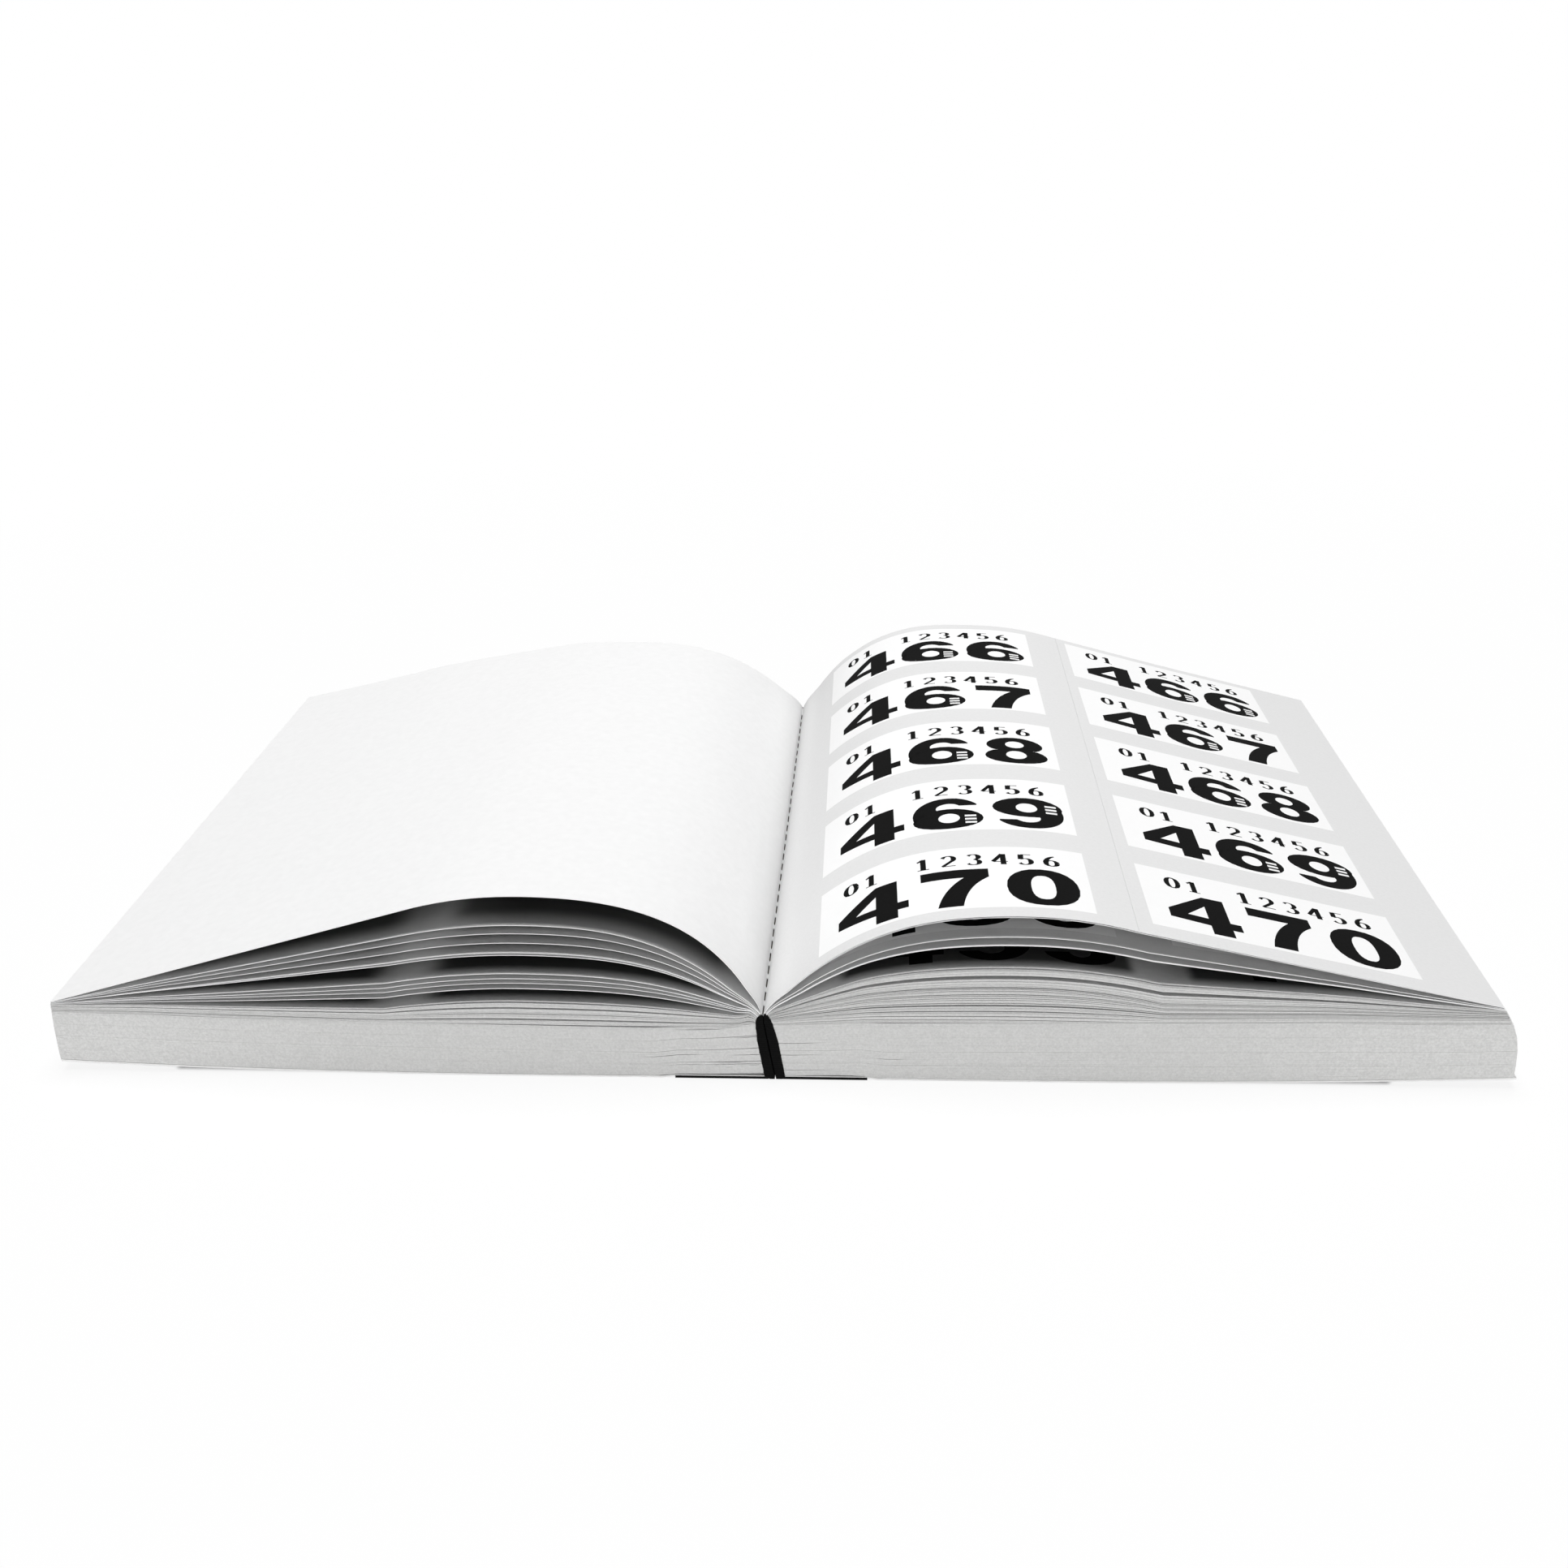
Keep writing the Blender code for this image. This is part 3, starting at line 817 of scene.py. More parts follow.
# %% Strokes of the big numerals
THREE_WAIST, EIGHT_WAIST = 0.52, 0.51
SIX_WIDTH = 1.05
six = [
    (oval(0.525, 0.32, 0.525, 0.32), oval(0.54, 0.337, 0.161, 0.151)),
    (
        oval(0.525, 0.5, 0.525, 0.5, 200, 32, 2.1),
        spread(
            oval(0.525, 0.32, 0.48, 0.275, 180, 122),
            oval(0.545, 0.67, 0.19, 0.145, 205, 55),
            (0.71, 0.735),
            (0.97, 0.735),
        ),
    ),
]
NUMERALS = {
    "0": (1.0, [
        (oval(0.5, 0.5, 0.5, 0.5, squareness=2.25), oval(0.5, 0.49, 0.168, 0.325, squareness=2.5)),
    ]),
    "1": (0.75, [box(0.36, 0.7, 0, 1), block((0.05, 0.6), (0.36, 0.7), (0.36, 1), (0.05, 0.8))]),
    "2": (1.0, [
        (
            spread(oval(0.49, 0.66, 0.47, 0.34, 180, -18), (0.46, 0.23)),
            spread(oval(0.49, 0.66, 0.15, 0.17, 180, -18), (0.03, 0.23)),
        ),
        box(0.03, 0.98, 0, 0.23),
    ]),
    "3": (0.96, [
        (
            held(oval(0.46, 0.72, 0.44, 0.28, 170, -75), low=THREE_WAIST),
            held(oval(0.46, 0.73, 0.14, 0.1, 170, -75), low=THREE_WAIST),
        ),
        (
            held(oval(0.46, 0.29, 0.49, 0.29, 75, -170), high=THREE_WAIST),
            held(oval(0.46, 0.29, 0.15, 0.12, 75, -170), high=THREE_WAIST),
        ),
    ]),
    "4": (1.05, [
        box(0.578, 0.895, 0, 1),
        box(0.895, 1.05, 0.205, 0.395),
        block((0, 0.275), (0.275, 0.25), (0.275, 0.43), (0, 0.505)),
        block((0.275, 0.25), (0.578, 0.225), (0.578, 0.41), (0.275, 0.43)),
        block((0, 0.505), (0.578, 1), (0.578, 0.745), (0.275, 0.43)),
    ]),
    "5": (0.96, [
        box(0.1, 0.9, 0.78, 1),
        block((0.08, 0.5), (0.33, 0.56), (0.36, 0.78), (0.1, 0.78)),
        (oval(0.46, 0.32, 0.49, 0.32, 125, -170), oval(0.46, 0.32, 0.15, 0.14, 125, -170)),
    ]),
    "6": (SIX_WIDTH, six),
    "7": (0.95, [
        box(0, 0.95, 0.77, 1),
        (bow((0.603, 0.77), (0.3, 0.47), (0.213, 0)), bow((0.95, 0.77), (0.63, 0.53), (0.56, 0))),
    ]),
    "8": (1.0, [
        (held(oval(0.5, 0.71, 0.455, 0.29), low=EIGHT_WAIST), oval(0.5, 0.72, 0.152, 0.13)),
        (held(oval(0.5, 0.291, 0.5, 0.291), high=EIGHT_WAIST), oval(0.5, 0.32, 0.165, 0.154)),
    ]),
    "9": (SIX_WIDTH, turned(six, SIX_WIDTH)),
}
print("numerals:", {digit: len(strokes) for digit, (_, strokes) in NUMERALS.items()})

# %% [markdown]
# A 6 and a 9 look alike upside down, so each has a bare mark in its bowl that tells which way up it
# is: three dashes low in the 6, and three dashes high in the 9.

# %% Bare marks
MARK_COUNT = 3
MARK_PITCH = 0.105
MARK_LENGTH, MARK_STROKE = 0.17, 0.055


def dashes(left, foot):
    """Three short bare dashes, one above the other."""
    feet = foot + MARK_PITCH * np.arange(MARK_COUNT)
    return [box(left, left + MARK_LENGTH, foot, foot + MARK_STROKE) for foot in feet]


MARKS = {"6": dashes(0.775, 0.15), "9": dashes(0.79, 0.52)}
print("marked numerals:", " ".join(MARKS))

# %% [markdown]
# ### Small numerals
#
# The serial number is set in thin and thick strokes, as a broad pen writes: a stroke is thick where
# the pen moves up or down and thin where it moves sideways. So a small numeral is a few pen paths, and
# the two edges of a stroke lie half a pen's width to either side of its path.

# %% Strokes of the small numerals
PEN_THICK, PEN_THIN = 0.125, 0.025
PEN_POINTS = 15


def pen(*runs):
    """The two edges of a pen stroke along runs joined end to end.

    Its half-width goes from thin to thick with the square of the sine of the path's direction.
    """
    path = spread(*runs, count=PEN_POINTS)
    heading = np.gradient(path, axis=0)
    heading /= np.hypot(*heading.T)[:, None]
    half = PEN_THIN + (PEN_THICK - PEN_THIN) * heading[:, 1:] ** 2
    aside = np.column_stack((-heading[:, 1], heading[:, 0])) * half
    return path + aside, path - aside


PEN_NUMERALS = {
    "0": [pen(oval(0.35, 0.5, 0.27, 0.46))],
    "1": [pen((0.36, 0.97), (0.36, 0.02)), pen((0.1, 0.78), (0.36, 0.95)), pen((0.1, 0.03), (0.62, 0.03))],
    "2": [pen(oval(0.34, 0.7, 0.26, 0.27, 160, -35), (0.08, 0.06)), pen((0.06, 0.06), (0.66, 0.06))],
    "3": [pen(oval(0.32, 0.74, 0.24, 0.23, 150, -85)), pen(oval(0.32, 0.27, 0.27, 0.24, 85, -150))],
    "4": [pen((0.5, 0.97), (0.5, 0.02)), pen((0.46, 0.95), (0.04, 0.28)), pen((0.04, 0.28), (0.7, 0.28))],
    "5": [
        pen((0.6, 0.95), (0.16, 0.95)),
        pen((0.16, 0.95), (0.14, 0.52)),
        pen(oval(0.32, 0.31, 0.27, 0.28, 130, -150)),
    ],
    "6": [pen(oval(0.35, 0.29, 0.25, 0.26)), pen(oval(0.68, 0.33, 0.58, 0.62, 108, 178))],
}
print("small numerals:", " ".join(PEN_NUMERALS))

# %% [markdown]
# ### Laying ink on a leaf
#
# Ink is printed flat, so it is drawn flat, in page measures, and then laid on the bent leaf: the
# distance along the paper says where on the leaf's line a point goes, and the ink stands a hundredth
# of a millimetre or two proud of it. That is thicker than real ink, so that it stays clear of the
# paper between the leaf's own points. The ticket side is the upper one on the right half, and the lower
# one on the left half.

# %% Ink on a leaf
INK_TOP = 0.015 * MM
INK_FOOT = -0.02 * MM
BIG_ACROSS, HIDDEN_ACROSS, SMALL_ACROSS = 9, 4, 2


def paper_run(lines):
    """Distance along the paper of each point, the mean of the near and the far upper line."""
    return (arc_length(lines[0][1]) + arc_length(lines[1][1])) / 2


def laid(lines, side, bound=0.0):
    """A function that lays page points on the ticket side of a leaf.

    It reads the near and the far line at a point's distance along the paper, goes between them by its
    share of the leaf's length, and adds a lift along the line's normal, away from the paper.
    """
    run = bound + paper_run(lines)
    near_line, far_line = (end[1 if side > 0 else 0] for end in lines)
    heading = np.gradient((near_line + far_line) / 2, run, axis=0)
    heading /= np.hypot(*heading.T)[:, None]

    def lay(points, lift):
        v = points[..., 1]
        u = points[..., 0] - PRINT_SKEW * v
        share = v / (FAR - NEAR)
        out, up = (
            np.interp(u, run, near_line[:, k]) * (1 - share) + np.interp(u, run, far_line[:, k]) * share
            for k in (0, 1)
        )
        ahead, rise = (np.interp(u, run, heading[:, k]) * lift * side for k in (0, 1))
        return np.stack((side * (out - rise), NEAR + v, up + ahead), axis=-1)

    return lay


def ink_stroke(lay, stroke, corner, scale, across, surface=INKED, lift=0.0):
    """One stroke as a thin closed sheet of ink. A stroke whose edges end where they start is a ring."""
    first, second = stroke
    ring = np.allclose(first[0], first[-1]) and np.allclose(second[0], second[-1])
    if ring:
        first, second = first[:-1], second[:-1]
    s = np.linspace(0, 1, across)[None, :, None]
    flat = np.array(corner) + np.array(scale) * (first[:, None] * (1 - s) + second[:, None] * s)
    return closed_sheet(lay(flat, INK_TOP + lift), lay(flat, INK_FOOT + lift), ring=ring, surface=surface)


print("ink stands", round(INK_TOP / MM, 3), "mm proud of the paper")

# %% [markdown]
# ### Printing a ticket
#
# A ticket's big number fills the lower part of its panel, and the series and serial numbers stand
# above it. The outer column is a little narrower, and all its print with it. The numbers run down the
# leaf, from the far end to the near end.

# %% Print of one leaf
NUMBER_HEIGHT = 11.3 * MM
NUMBER_FOOT = 0.8 * MM
NUMBER_MIDDLES = (9.6 * MM, 23.0 * MM, 36.6 * MM)
SMALL_HEIGHT = 3.6 * MM
SMALL_FOOT = 13.4 * MM
SMALL_LINES = (("01", 4.6 * MM, 3.6 * MM), ("123456", 16.9 * MM, 4.1 * MM))


def number_ink(lay, number, corner, narrow, across):
    """The big number of one ticket, with the bare marks in a 6 or 9, as closed sheets."""
    scale = np.array((NUMBER_HEIGHT * narrow, NUMBER_HEIGHT))
    sheets = []
    for digit, middle in zip(number, NUMBER_MIDDLES):
        width, strokes = NUMERALS[digit]
        foot = corner + (middle * narrow - width * scale[0] / 2, NUMBER_FOOT)
        sheets += [ink_stroke(lay, stroke, foot, scale, across) for stroke in strokes]
        marks = MARKS.get(digit, ())
        sheets += [ink_stroke(lay, mark, foot, scale, SMALL_ACROSS, EDGE, INK_TOP) for mark in marks]
    return sheets


def small_ink(lay, corner, narrow):
    """The series number and the serial number of one ticket, as closed sheets."""
    scale = (SMALL_HEIGHT * narrow, SMALL_HEIGHT)
    return [
        ink_stroke(lay, stroke, corner + ((start + k * pitch) * narrow, SMALL_FOOT), scale, SMALL_ACROSS)
        for digits, start, pitch in SMALL_LINES
        for k, digit in enumerate(digits)
        for stroke in PEN_NUMERALS[digit]
    ]


def column_ink(lay, column, first_number, rows, small, drop=0.0):
    """The print of one column of tickets, in given rows counted from the near end."""
    start, end = COLUMNS[column]
    narrow = (end - start) / (COLUMNS[0][1] - COLUMNS[0][0])
    sheets = []
    for row in rows:
        corner = np.array((start, PANEL_FEET[column] - drop + row * PANEL_PITCH))
        number = str(first_number + PANEL_ROWS - 1 - row)
        sheets += number_ink(lay, number, corner, narrow, BIG_ACROSS if small else HIDDEN_ACROSS)
        sheets += small_ink(lay, corner, narrow) if small else []
    return sheets


FIRST_NUMBER = 466
ALL_ROWS = range(PANEL_ROWS)
END_ROWS = (0, PANEL_ROWS - 1)
print("the open page runs from", FIRST_NUMBER, "to", FIRST_NUMBER + PANEL_ROWS - 1)

# %% [markdown]
# ## Leaves of paper
#
# A sheet of leaf is read from its lines at given distances along the paper. Its page map holds the
# distance along the paper from the bound edge, and from the near end, so that the print bends with it.

# %% Paper
LEAF_ROWS = 25
FAN_TRIM = 0.08 * MM
LOW_CUT, TOP_CUT = 0.45 * MM, 0.9 * MM
TICKET_RISE = MM * np.array(((0, 0), (8, 1.7), (16, 1.9), (24, 1.7), (36, 0.9), (55, 0.35), (80, 0)))
FACING_RISE = MM * np.array(((40, 0), (58, 1.0), (78, 1.6), (98, 0.8), (113.5, 0.5)))
FAR_RISE = {"ticket_leaf": TICKET_RISE, "ticket_column": TICKET_RISE, "facing_leaf": FACING_RISE}


def leaf_lines(node, line_maker, cut=0.0):
    """The faired lower and upper lines of a node, at the near and the far end.

    The far ends of the two open pages stand a little higher than the frame has them.
    """
    ends = outlines(node)
    for line in ends[1]:
        line[:, 1] += np.interp(line[:, 0], *FAR_RISE[node].T) if node in FAR_RISE else 0
    return [tuple(line_maker(line, cut) for line in end) for end in ends]


def paper(lines, side, y, bound=0.0):
    """A closed sheet of leaf at given places along the spine; bound is where on the page it starts."""
    page = np.stack(np.meshgrid(bound + paper_run(lines), y - NEAR, indexing="ij"), axis=-1)
    page[..., 0] += PRINT_SKEW * page[..., 1]
    return closed_sheet(*two_grids(lines, side, y), page)


def leaf_rows():
    """Places along the spine, with the leaf's ends trimmed a little short or long."""
    y = np.linspace(NEAR, FAR, LEAF_ROWS)
    y[[0, -1]] += random.normal(0, FAN_TRIM, 2)
    return y


def leaf_finishes(side, over_gap=False, under_gap=False, edge=blank_paper):
    """Finishes of a leaf's upper face, lower face, edge and print; next to a wide gap a face gets paper
    with painted shade, and so does every lower face on the left.
    """
    # The paper with painted shade for this half.
    dark = painted_shade_papers["right" if side > 0 else "left"]
    upper, lower = (tint_paper, blank_paper) if side > 0 else (open_paper, dark)
    return (dark if under_gap else upper, dark if over_gap else lower, edge, ink)


def springing_sheets(lines, side):
    """As many leaves as fit between two lines, and the lines of the one whose ticket side is outermost."""
    thickness = np.mean(lines[0][1][:, 1] - lines[0][0][:, 1])
    count = max(1, math.floor(thickness / LEAF_THICKNESS))
    leaves = [between(lines, k / count, (k + FILL) / count) for k in range(count)]
    return [paper(leaf, side, leaf_rows()) for leaf in leaves], leaves[-1 if side > 0 else 0]


print("a leaf has", LEAF_ROWS, "rows of points along the spine")

# %% [markdown]
# ## Closing the book
#
# When the book closes, its fans come down again. For each springing leaf the turn at its crest is found:
# the crest's own angle above the hinge, less the leaf's place in the thin wedge that the closed halves
# leave. A leaf with no turn goes with its own half; the leaves are not bent here. The two open pages have
# joints of their own, and each only gets a mesh of its own.

# %% Motion of the leaves
closing = next(joint for joint in frame["joints"] if joint["name"] == "book_close")
HINGE_HEIGHT = closing["pos_m"][2]
CLOSED = math.radians(closing["range_deg"][1])
WEDGE = (math.pi - CLOSED) / 2


def settle(piece, lines, half, place):
    """Finds the turn at a springing leaf's crest as the book closes; place is its share of the half's
    wedge. The turn is the crest's angle above the hinge, less that share of the wedge. A leaf that doesn't
    turn is attached to its half; the place of any other is baked into its mesh, which is not bent.
    """
    side = SIDES[half]
    ends = [np.column_stack((side * end[1][:, 0], 0 * end[1][:, 0] + y, end[1][:, 1]))
            for end, y in zip(lines, (NEAR, FAR))]
    line = sum(raised(end)[:, (0, 2)] for end in ends) / 2 * (side, 1)
    crest = line[line[:, 1].argmax()]
    rise = math.atan2(crest[1] - HINGE_HEIGHT, crest[0]) - place * WEDGE
    if rise <= 0:
        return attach(piece, f"{half}_half")
    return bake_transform(piece)


def flatten(piece):
    """Gives an open page a mesh of its own."""
    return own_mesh(piece)


print("closed, the halves leave a wedge of", round(math.degrees(2 * WEDGE), 1), "degrees")

# %% [markdown]
# ## The fans
#
# Next to the opening the leaves spring up, singly and in twos. Each bends from the rounded spine to a
# crest, falls to the crease at its middle perforation and runs straight to the fore-edge. The lowest
# ones lie tight, so their gaps are filled with more leaves, but for slits. Deep in the gaps only the
# rows of tickets at the two ends can be seen, so only those get their numbers, and in the widest gaps
# the numbers sit a little nearer to the near end, where they show. The leaf under the open ticket page
# shows when that is lifted, so it is printed in full.

# %% Lines of the fans
TIGHT_SLIT = 0.3
UNDER_PAGE = 0.85


def fan_lines(half):
    """The lines of a half's springing leaves, from the lowest up.

    The tight ones are thickened, until only a slit is left under the next. On the right the fore-edges
    are cut at a slant, and the topmost leaf is lifted to just under the open page.
    """
    nodes = fan_nodes[half]
    cuts = np.linspace(LOW_CUT, TOP_CUT, len(nodes)) if half == "right" else np.zeros(len(nodes))
    fan = [leaf_lines(node, creased, cut) for node, cut in zip(nodes, cuts)]
    for leaf, above in zip(fan[:TIGHT[half] - 1], fan[1:]):
        for (_, up), (over, _) in zip(leaf, above):
            up[:, 1] += gap(up, over) * (1 - TIGHT_SLIT)
    if half == "right":
        pages = [leaf_lines(node, uncreased) for node in OPEN_PAGES[half]]
        for end, (low, up) in enumerate(fan[-1]):
            lift = UNDER_PAGE * gap(up, np.vstack([page[end][0] for page in pages]))
            low[:, 1] += lift
            up[:, 1] += lift
    return fan


print("tight pieces:", TIGHT)

# %% Springing leaves
HIDDEN_DROP = 1.5 * MM
# The faces of these leaves at the widest gaps, and the faces over them, get paper with painted shade.
UNDER_WIDE_GAPS = ("left_fan_05", "left_fan_09", "left_fan_14", "right_fan_10")

for half, side in SIDES.items():
    depth = 1
    nodes = fan_nodes[half]
    for k, lines in reversed(list(enumerate(fan_lines(half)))):
        sheets, ticket_side = springing_sheets(lines, side)
        whole = side > 0 and depth == 1
        rows = ALL_ROWS if whole else END_ROWS
        drop = HIDDEN_DROP if nodes[k] in UNDER_WIDE_GAPS else 0.0
        first_number = FIRST_NUMBER + PANEL_ROWS * (depth if side > 0 else -depth - 1)
        for column in (0, 1):
            sheets += column_ink(laid(ticket_side, side), column, first_number, rows, whole, drop)
        over_gap = k > 0 and nodes[k - 1] in UNDER_WIDE_GAPS
        edge = cut_edge if k < TIGHT[half] else blank_paper
        finishes = leaf_finishes(side, over_gap, nodes[k] in UNDER_WIDE_GAPS, edge)
        # The leaf under the facing page gets the slower, lighter painted shade.
        if side < 0 and depth == 1:
            finishes = (shaded_paper, *finishes[1:])
        leaf = add_piece(f"{nodes[k]}_paper", sheets, finishes)
        settle(leaf, ticket_side, half, (k + 1) / (len(nodes) + 2))
        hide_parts(nodes[k])
        depth += leaves_in(nodes[k])
    print(half, "fan:", len(nodes), "pieces,", depth - 1, "leaves")

# %% [markdown]
# ## The two open pages
#
# The blank back of one leaf faces the printed front of the next. The printed leaf is creased between
# its two columns of tickets, and the outer column folds up there, so it is a piece of its own.

# %% Open pages
CREASE_CLOSING = 0.09 * MM

sheets, facing_lines = springing_sheets(leaf_lines("facing_leaf", creased), -1)
for column in (0, 1):
    sheets += column_ink(laid(facing_lines, -1), column, FIRST_NUMBER - PANEL_ROWS, ALL_ROWS, small=True)
facing_page = add_piece("facing_leaf_paper", sheets, leaf_finishes(-1, over_gap=True))
open_pages = [(facing_page, "facing_leaf", -1)]

ticket_lines = leaf_lines("ticket_leaf", uncreased)
column_lines = leaf_lines("ticket_column", uncreased, TOP_CUT)
for lines, last, before in ((ticket_lines, -1, -2), (column_lines, 0, 1)):
    for line in (line for end in lines for line in end):
        heading = line[last] - line[before]
        line[last] += heading / np.hypot(*heading) * CREASE_CLOSING

rows = leaf_rows()
columns = (("ticket_leaf", ticket_lines, 0.0), ("ticket_column", column_lines, paper_run(ticket_lines)[-1]))
for column, (node, lines, start) in enumerate(columns):
    sheets = [paper(lines, 1, rows, start)]
    sheets += column_ink(laid(lines, 1, start), column, FIRST_NUMBER, ALL_ROWS, small=True)
    page = add_piece(f"{node}_paper", sheets, leaf_finishes(1))
    open_pages.append((page, node, 1))

for page, node, side in open_pages:
    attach(page, node)
    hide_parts(node)
    flatten(page)
    print(page.name, len(page.data.polygons), "faces")

# %% [markdown]
# ## The gutter
#
# Between the two pages a narrow stub of the ticket leaf stays glued in the spine. It lies in the valley as
# a small V, and a row of slots along its bottom divides it from the leaf, so that tickets tear off along
# it. The slots could be a dark line in the paint, but they are real cuts: only small ties cross the bottom
# of the V, and the glue shows between them, coloured dark as painted shade.

# %% Perforated stub
FIRST_SLOT = 0.3 * MM
SLOT_PITCH = 4.0 * MM
SLOT_LENGTH = 2.6 * MM
STUB_THICKNESS = 0.05 * MM
STUB_DROP = 0.03 * MM
STUB_GAP = 0.02 * MM
VALLEY = MM * np.array(((-0.34, 11.75), (-0.16, 11.5), (0.02, 11.75)))


def stub_sheet(first, last, y, thickness):
    """Part of the stub between two of the five corners of its V; thickness is the way to its lower side."""
    ends = []
    for k in (0, 1):
        left_top = facing_lines[k][1][0] * (-1, 1) + (STUB_GAP, -STUB_DROP)
        right_top = ticket_lines[k][1][0] + (-STUB_GAP, -STUB_DROP)
        ends.append(np.vstack((left_top, VALLEY, right_top))[first:last + 1])
    upper = ruled(*ends, 1, y)
    return closed_sheet(upper, upper + thickness)


slots = int((FAR - NEAR) / SLOT_PITCH)
slot_ends = NEAR + FIRST_SLOT + SLOT_PITCH * np.arange(slots)[:, None] + SLOT_LENGTH * np.array((0, 1))
tie_ends = np.concatenate(([NEAR], slot_ends.ravel(), [FAR])).reshape(-1, 2)
whole_length = np.array((NEAR, FAR))
sheets = [stub_sheet(0, 1, whole_length, (-STUB_THICKNESS, 0, 0))]
sheets += [stub_sheet(3, 4, whole_length, (STUB_THICKNESS, 0, 0))]
sheets += [stub_sheet(1, 3, tie, (0, 0, -STUB_THICKNESS)) for tie in tie_ends]
# The stub has the open page's paper, so it carries the painted gutter shade all over.
stub = add_piece("gutter_stub", sheets, (open_paper,))
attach(stub, "right_half")
print("stub with", slots, "slots of", round(SLOT_LENGTH / MM, 1), "mm")

# %% [markdown]
# ## The binding
#
# The covers are card, as wide as the pressed leaves. The cloth tape runs from the outside of one cover, up
# over the folded spine, and down to the other cover. Between the covers it is folded double, and its inner
# faces are drawn in until its two halves nearly touch: black cloth stands where there would be a hollow in
# shade, so that the slot looks black.

# %% Covers and laps
LIP = np.array((0.07, 0.02)) * MM
LIP_HEIGHT = 0.42 * MM

for body, side in (("front", -1), ("back", 1)):
    rows = np.linspace(NEAR, FAR, LEAF_ROWS)
    sheet = closed_sheet(*two_grids(outlines(f"{body}_cover"), side, rows))
    cover = add_piece(f"{body}_cover_sheet", [sheet], (card,))
    rows = np.concatenate((NEAR - LIP, rows, FAR + LIP[::-1]))
    upper, lower = two_grids(outlines(f"{body}_tape_lap"), side, rows)
    upper[:, (rows < NEAR) | (rows > FAR), 2] = LIP_HEIGHT
    lap = add_piece(f"{body}_tape_lap_sheet", [closed_sheet(upper, lower)], (cloth,))
    print(lap.name, "is", round(np.ptp(upper[:, 0, 0]) / MM, 1), "mm wide")
    for piece, node in ((cover, f"{body}_cover"), (lap, f"{body}_tape_lap")):
        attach(piece, f"{body}_cover")
        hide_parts(node)

# %% Tape and glue on the spine
FOLD_CENTRE = 9.785 * MM
TAPE_FOOT, GLUE_FOOT = 0.02 * MM, 0.26 * MM
FOOT_RADIUS = 1.25 * MM
TAPE_RADII = (1.4286 * MM, 1.629 * MM)
GLUE_RADII = (1.69 * MM, 2.04 * MM)
HALF_RIDGE_GAP = 0.1 * MM
GLUE_TOP, GLUE_STEP = 11.44 * MM, 0.02 * MM
FULLNESS = 0.97
HEM_ROWS = 0.12 * MM * np.array((1, 0.25, 0.2))
HEM_WAVES = ((0.07 * MM, 2.1 * MM), (0.04 * MM, 0.9 * MM))
LEG_SHARES = np.linspace(0, 1, 25)
TURN_SHARES = np.linspace(0, 1, 13)[1:]


def folded(radius, foot, foot_radius):
    """Half the spine's outline at a distance from the middle: a straight leg, then a quarter turn."""
    rise = foot + (FOLD_CENTRE - foot) * LEG_SHARES
    leg = np.column_stack((np.full(len(rise), radius), rise))
    leg[0, 0] = min(radius, foot_radius)
    a = TURN_SHARES * math.acos(HALF_RIDGE_GAP / radius)
    return np.vstack((leg, np.column_stack((radius * np.cos(a), FOLD_CENTRE + radius * np.sin(a)))))


def drawn_in_for_shade(line):
    """The tape's inner outline, drawn most of the way to the middle, so that black cloth fills what would
    be a hollow in shade.
    """
    aside = HALF_RIDGE_GAP + (line[:, 0] - HALF_RIDGE_GAP) * (1 - FULLNESS)
    return np.column_stack((aside, line[:, 1]))


def frayed(line, side):
    """The outline of the tape's raw end: the glue's outline, let in and out by two waves up its height."""
    wave = sum(deep * np.sin(2 * math.pi * line[:, 1] / long + side) for deep, long in HEM_WAVES)
    return line + np.column_stack((wave * np.minimum(1, line[:, 0] / MM), 0 * wave))


for half, side in SIDES.items():
    inner, outer = (folded(radius, TAPE_FOOT, FOOT_RADIUS) for radius in TAPE_RADII)
    hem = frayed(folded(GLUE_RADII[1], TAPE_FOOT, FOOT_RADIUS), side)
    rows = np.linspace(NEAR, FAR, LEAF_ROWS)
    y = np.concatenate((NEAR - HEM_ROWS, rows[1:-1], FAR + HEM_ROWS[::-1]))
    upper = ruled(outer, outer, side, y)
    at_hem = (y < NEAR - HEM_ROWS[1:].mean()) | (y > FAR + HEM_ROWS[1:].mean())
    upper[:, at_hem] = ruled(hem, hem, side, y)[:, at_hem]
    lower = ruled(drawn_in_for_shade(inner), drawn_in_for_shade(inner), side, y)
    tape = add_piece(f"{half}_spine_cloth", [closed_sheet(upper, lower)], (cloth,))
    inner, outer = (folded(radius, GLUE_FOOT, radius) for radius in GLUE_RADII)
    outer[:, 1] = np.minimum(outer[:, 1], GLUE_TOP)
    inner[:, 1] = np.minimum(inner[:, 1], GLUE_TOP - GLUE_STEP)
    bond = closed_sheet(ruled(outer, outer, side, rows), ruled(inner, inner, side, rows))
    bonding = add_piece(f"{half}_spine_bond", [bond], (glue,))
    for piece, node in ((tape, f"{half}_spine_tape"), (bonding, f"{half}_spine_glue")):
        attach(piece, f"{half}_half")
        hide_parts(node)
    print(half, "spine:", len(tape.data.polygons), "faces of cloth")

# %% [markdown]
# ## Table, light and camera
#
# The book lies on a wide white table that runs on to a white background. Away from the book the table glows
# a plain white to the eye alone, so that no horizon shows, and close to the book it keeps its soft shadow.
# The distance from the book is measured outside a box smaller than its outline, so that the table also
# glows under the book's raised ends and only a faint shadow lies along its near edge: painted light where
# the book would shade the table.

# %% Table
TABLE_REACH = 8.0
TABLE_DROP = 0.05 * MM
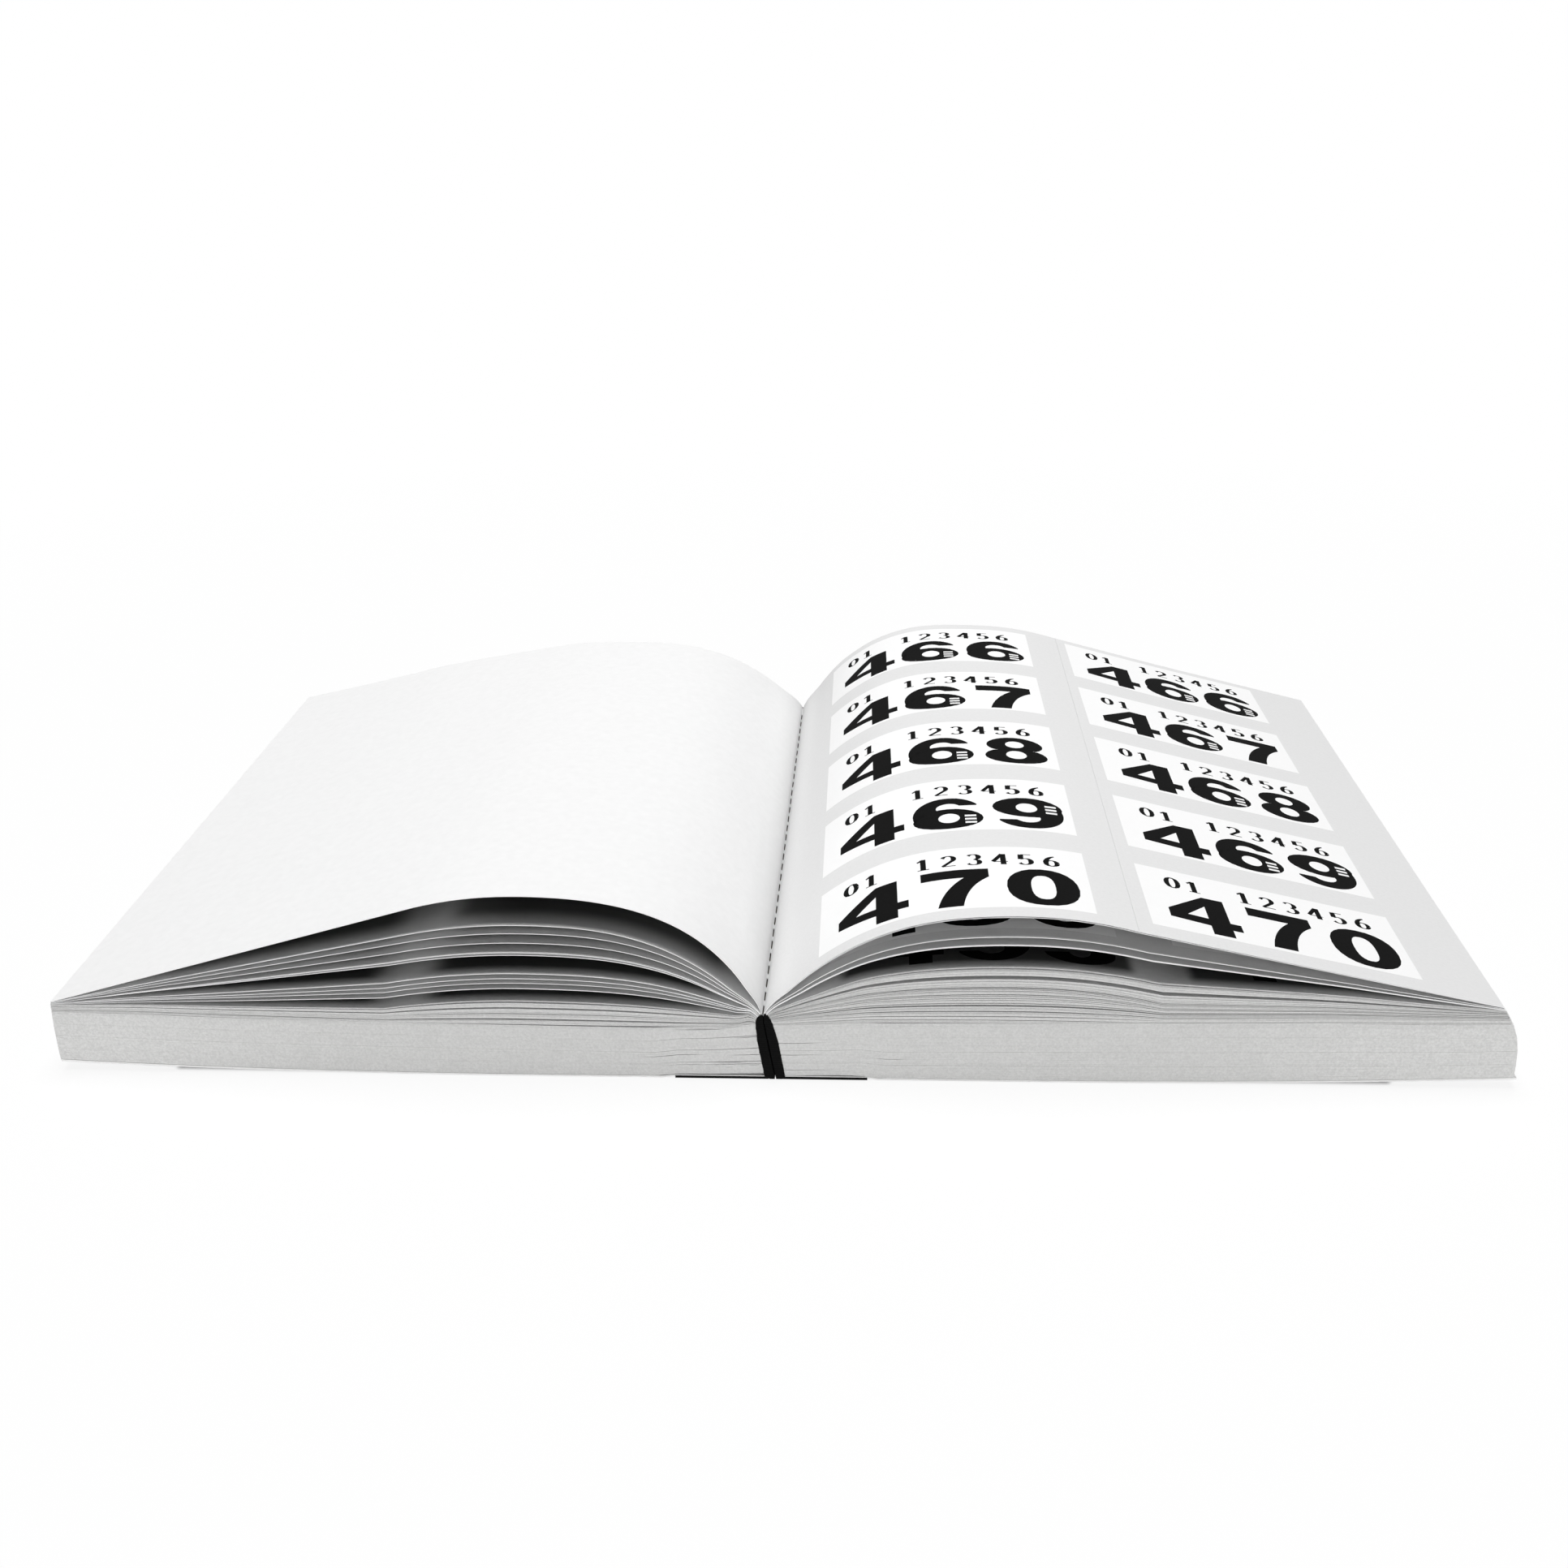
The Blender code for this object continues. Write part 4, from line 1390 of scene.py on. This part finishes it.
# Painted light: the box is smaller than the book, so the table glows even under the book's raised ends and
# at its near edge.
SHADOW_KEPT_BOX = (95 * MM, 62 * MM, 1.0)
CONTACT = 1.2 * MM
SHADOW_REACH = 0.3
CONTACT_GLOW = 0.88


def seen_directly(tree):
    """1 for what the eye sees, straight on or in a shiny or clear surface, and 0 for bounced light."""
    path = add_node(tree, "LightPath").node.outputs
    seen = path["Is Camera Ray"]
    for ray in ("Is Glossy Ray", "Is Transmission Ray"):
        seen = add_node(tree, "Math", (seen, path[ray]), operation="MAXIMUM")
    return seen


corner_signs = np.array(((-1, -1), (1, -1), (1, 1), (-1, 1)))
corners = np.column_stack((corner_signs * TABLE_REACH, np.full(4, -TABLE_DROP)))
table_mesh = bpy.data.meshes.new("table")
table_mesh.from_pydata(corners.tolist(), [], [(0, 1, 2, 3)])
table = bpy.data.objects.new("table", table_mesh)
bpy.context.scene.collection.objects.link(table)

table_top, tree, shader = new_finish("matt_white_table")
connect(tree, shader, {"Base Color": linear("#FAFAFA"), "Roughness": 0.9, "Specular IOR Level": 0.1})
place = add_node(tree, "TexCoord", output="Object")
aside = add_node(tree, "VectorMath", [place], operation="ABSOLUTE")
aside = add_node(tree, "VectorMath", (aside, SHADOW_KEPT_BOX), operation="SUBTRACT")
aside = add_node(tree, "VectorMath", (aside, (0, 0, 0)), operation="MAXIMUM")
distance = add_node(tree, "VectorMath", [aside], "Value", operation="LENGTH")
close = add_node(tree, "MapRange", (distance, 0.0, CONTACT, 0.0, CONTACT_GLOW))
away = add_node(tree, "MapRange", (distance, CONTACT, SHADOW_REACH, 0.0, 1 - CONTACT_GLOW))
share = add_node(tree, "Math", (close, away), operation="ADD")
glow = add_node(tree, "Emission", {"Color": linear("#FFFFFF"), "Strength": 1.0})
bounce = add_node(tree, "BsdfDiffuse", {"Color": linear("#E8E8E8")})
seen = add_node(tree, "MixShader", (share, shader.outputs[0], glow))
whole = add_node(tree, "MixShader", (seen_directly(tree), bounce, seen))
connect(tree, tree.nodes["Material Output"], {"Surface": whole})
table_mesh.materials.append(table_top)
print("the table reaches", TABLE_REACH, "m to each side")

# %% [markdown]
# The main lamp hangs over the book, so that each leaf shades the gap under it. The fronts of the
# leaves are lit from the white table, and by a weak lamp low in front. The room adds an even, dim light.

# %% Light
ROOM_LIGHT = 0.08
LAMP_UPWARD = (0, 0.6, 0.8)

world = bpy.data.worlds.new("studio")
bpy.context.scene.world = world
world.use_nodes = True
tree = world.node_tree
room = tree.nodes["Background"]
connect(tree, room, {"Color": linear("#FFFFFF"), "Strength": ROOM_LIGHT})
backdrop = add_node(tree, "Background", {"Color": linear("#FFFFFF"), "Strength": 1.0})
either = add_node(tree, "MixShader", (seen_directly(tree), room.outputs[0], backdrop))
connect(tree, tree.nodes["World Output"], {"Surface": either})


def placed(ahead, upward, place):
    """The matrix of an object at a place that looks ahead, with a direction near its upright."""
    ahead = np.array(ahead) / np.linalg.norm(ahead)
    across = np.cross(ahead, upward)
    across /= np.linalg.norm(across)
    turn = np.eye(4)
    turn[:3, :] = np.column_stack((across, np.cross(across, ahead), -ahead, place))
    return Matrix(turn.tolist())


def softbox(name, place, width, height, power):
    """A soft lamp at a place, looking at the book."""
    lamp = bpy.data.lights.new(name, "AREA")
    lamp.shape = "RECTANGLE"
    lamp.size = width
    lamp.size_y = height
    lamp.energy = power
    holder = bpy.data.objects.new(name, lamp)
    holder.matrix_world = placed(-np.array(place), LAMP_UPWARD, place)
    bpy.context.scene.collection.objects.link(holder)
    print(name, round(float(np.linalg.norm(place)), 2), "m away,", power, "W")


softbox("overhead_softbox", place=(0.0, 0.05, 1.1), width=0.6, height=0.6, power=12.0)
softbox("front_strip", place=(0.0, -1.0, 0.05), width=1.2, height=0.06, power=5.0)

# %% [markdown]
# The camera stands a little to the right, some 21 cm in front of the near edge, and looks down. Its
# place, angles and lens were fitted to the corners and edges that the picture shows.

# %% Camera
EYE = (16.957 * MM, -273.494 * MM, 146.944 * MM)
YAW, PITCH, ROLL = np.radians((-3.699, -24.536, -1.424))
SENSOR_WIDTH, FOCAL_LENGTH = 36, 36.94
NEAREST_SEEN = 0.01

ahead = np.array((np.sin(YAW) * np.cos(PITCH), np.cos(YAW) * np.cos(PITCH), np.sin(PITCH)))
level = np.array((np.cos(YAW), -np.sin(YAW), 0))
upward = np.cos(ROLL) * np.cross(level, ahead) - np.sin(ROLL) * level
lens = bpy.data.cameras.new("camera")
lens.sensor_width = SENSOR_WIDTH
lens.lens = FOCAL_LENGTH
lens.clip_start = NEAREST_SEEN
camera = bpy.data.objects.new("camera", lens)
camera.matrix_world = placed(ahead, upward, EYE)
bpy.context.scene.collection.objects.link(camera)
bpy.context.scene.camera = camera
bpy.context.scene.view_settings.view_transform = "Standard"
print("camera at", [round(x / MM) for x in EYE], "mm")
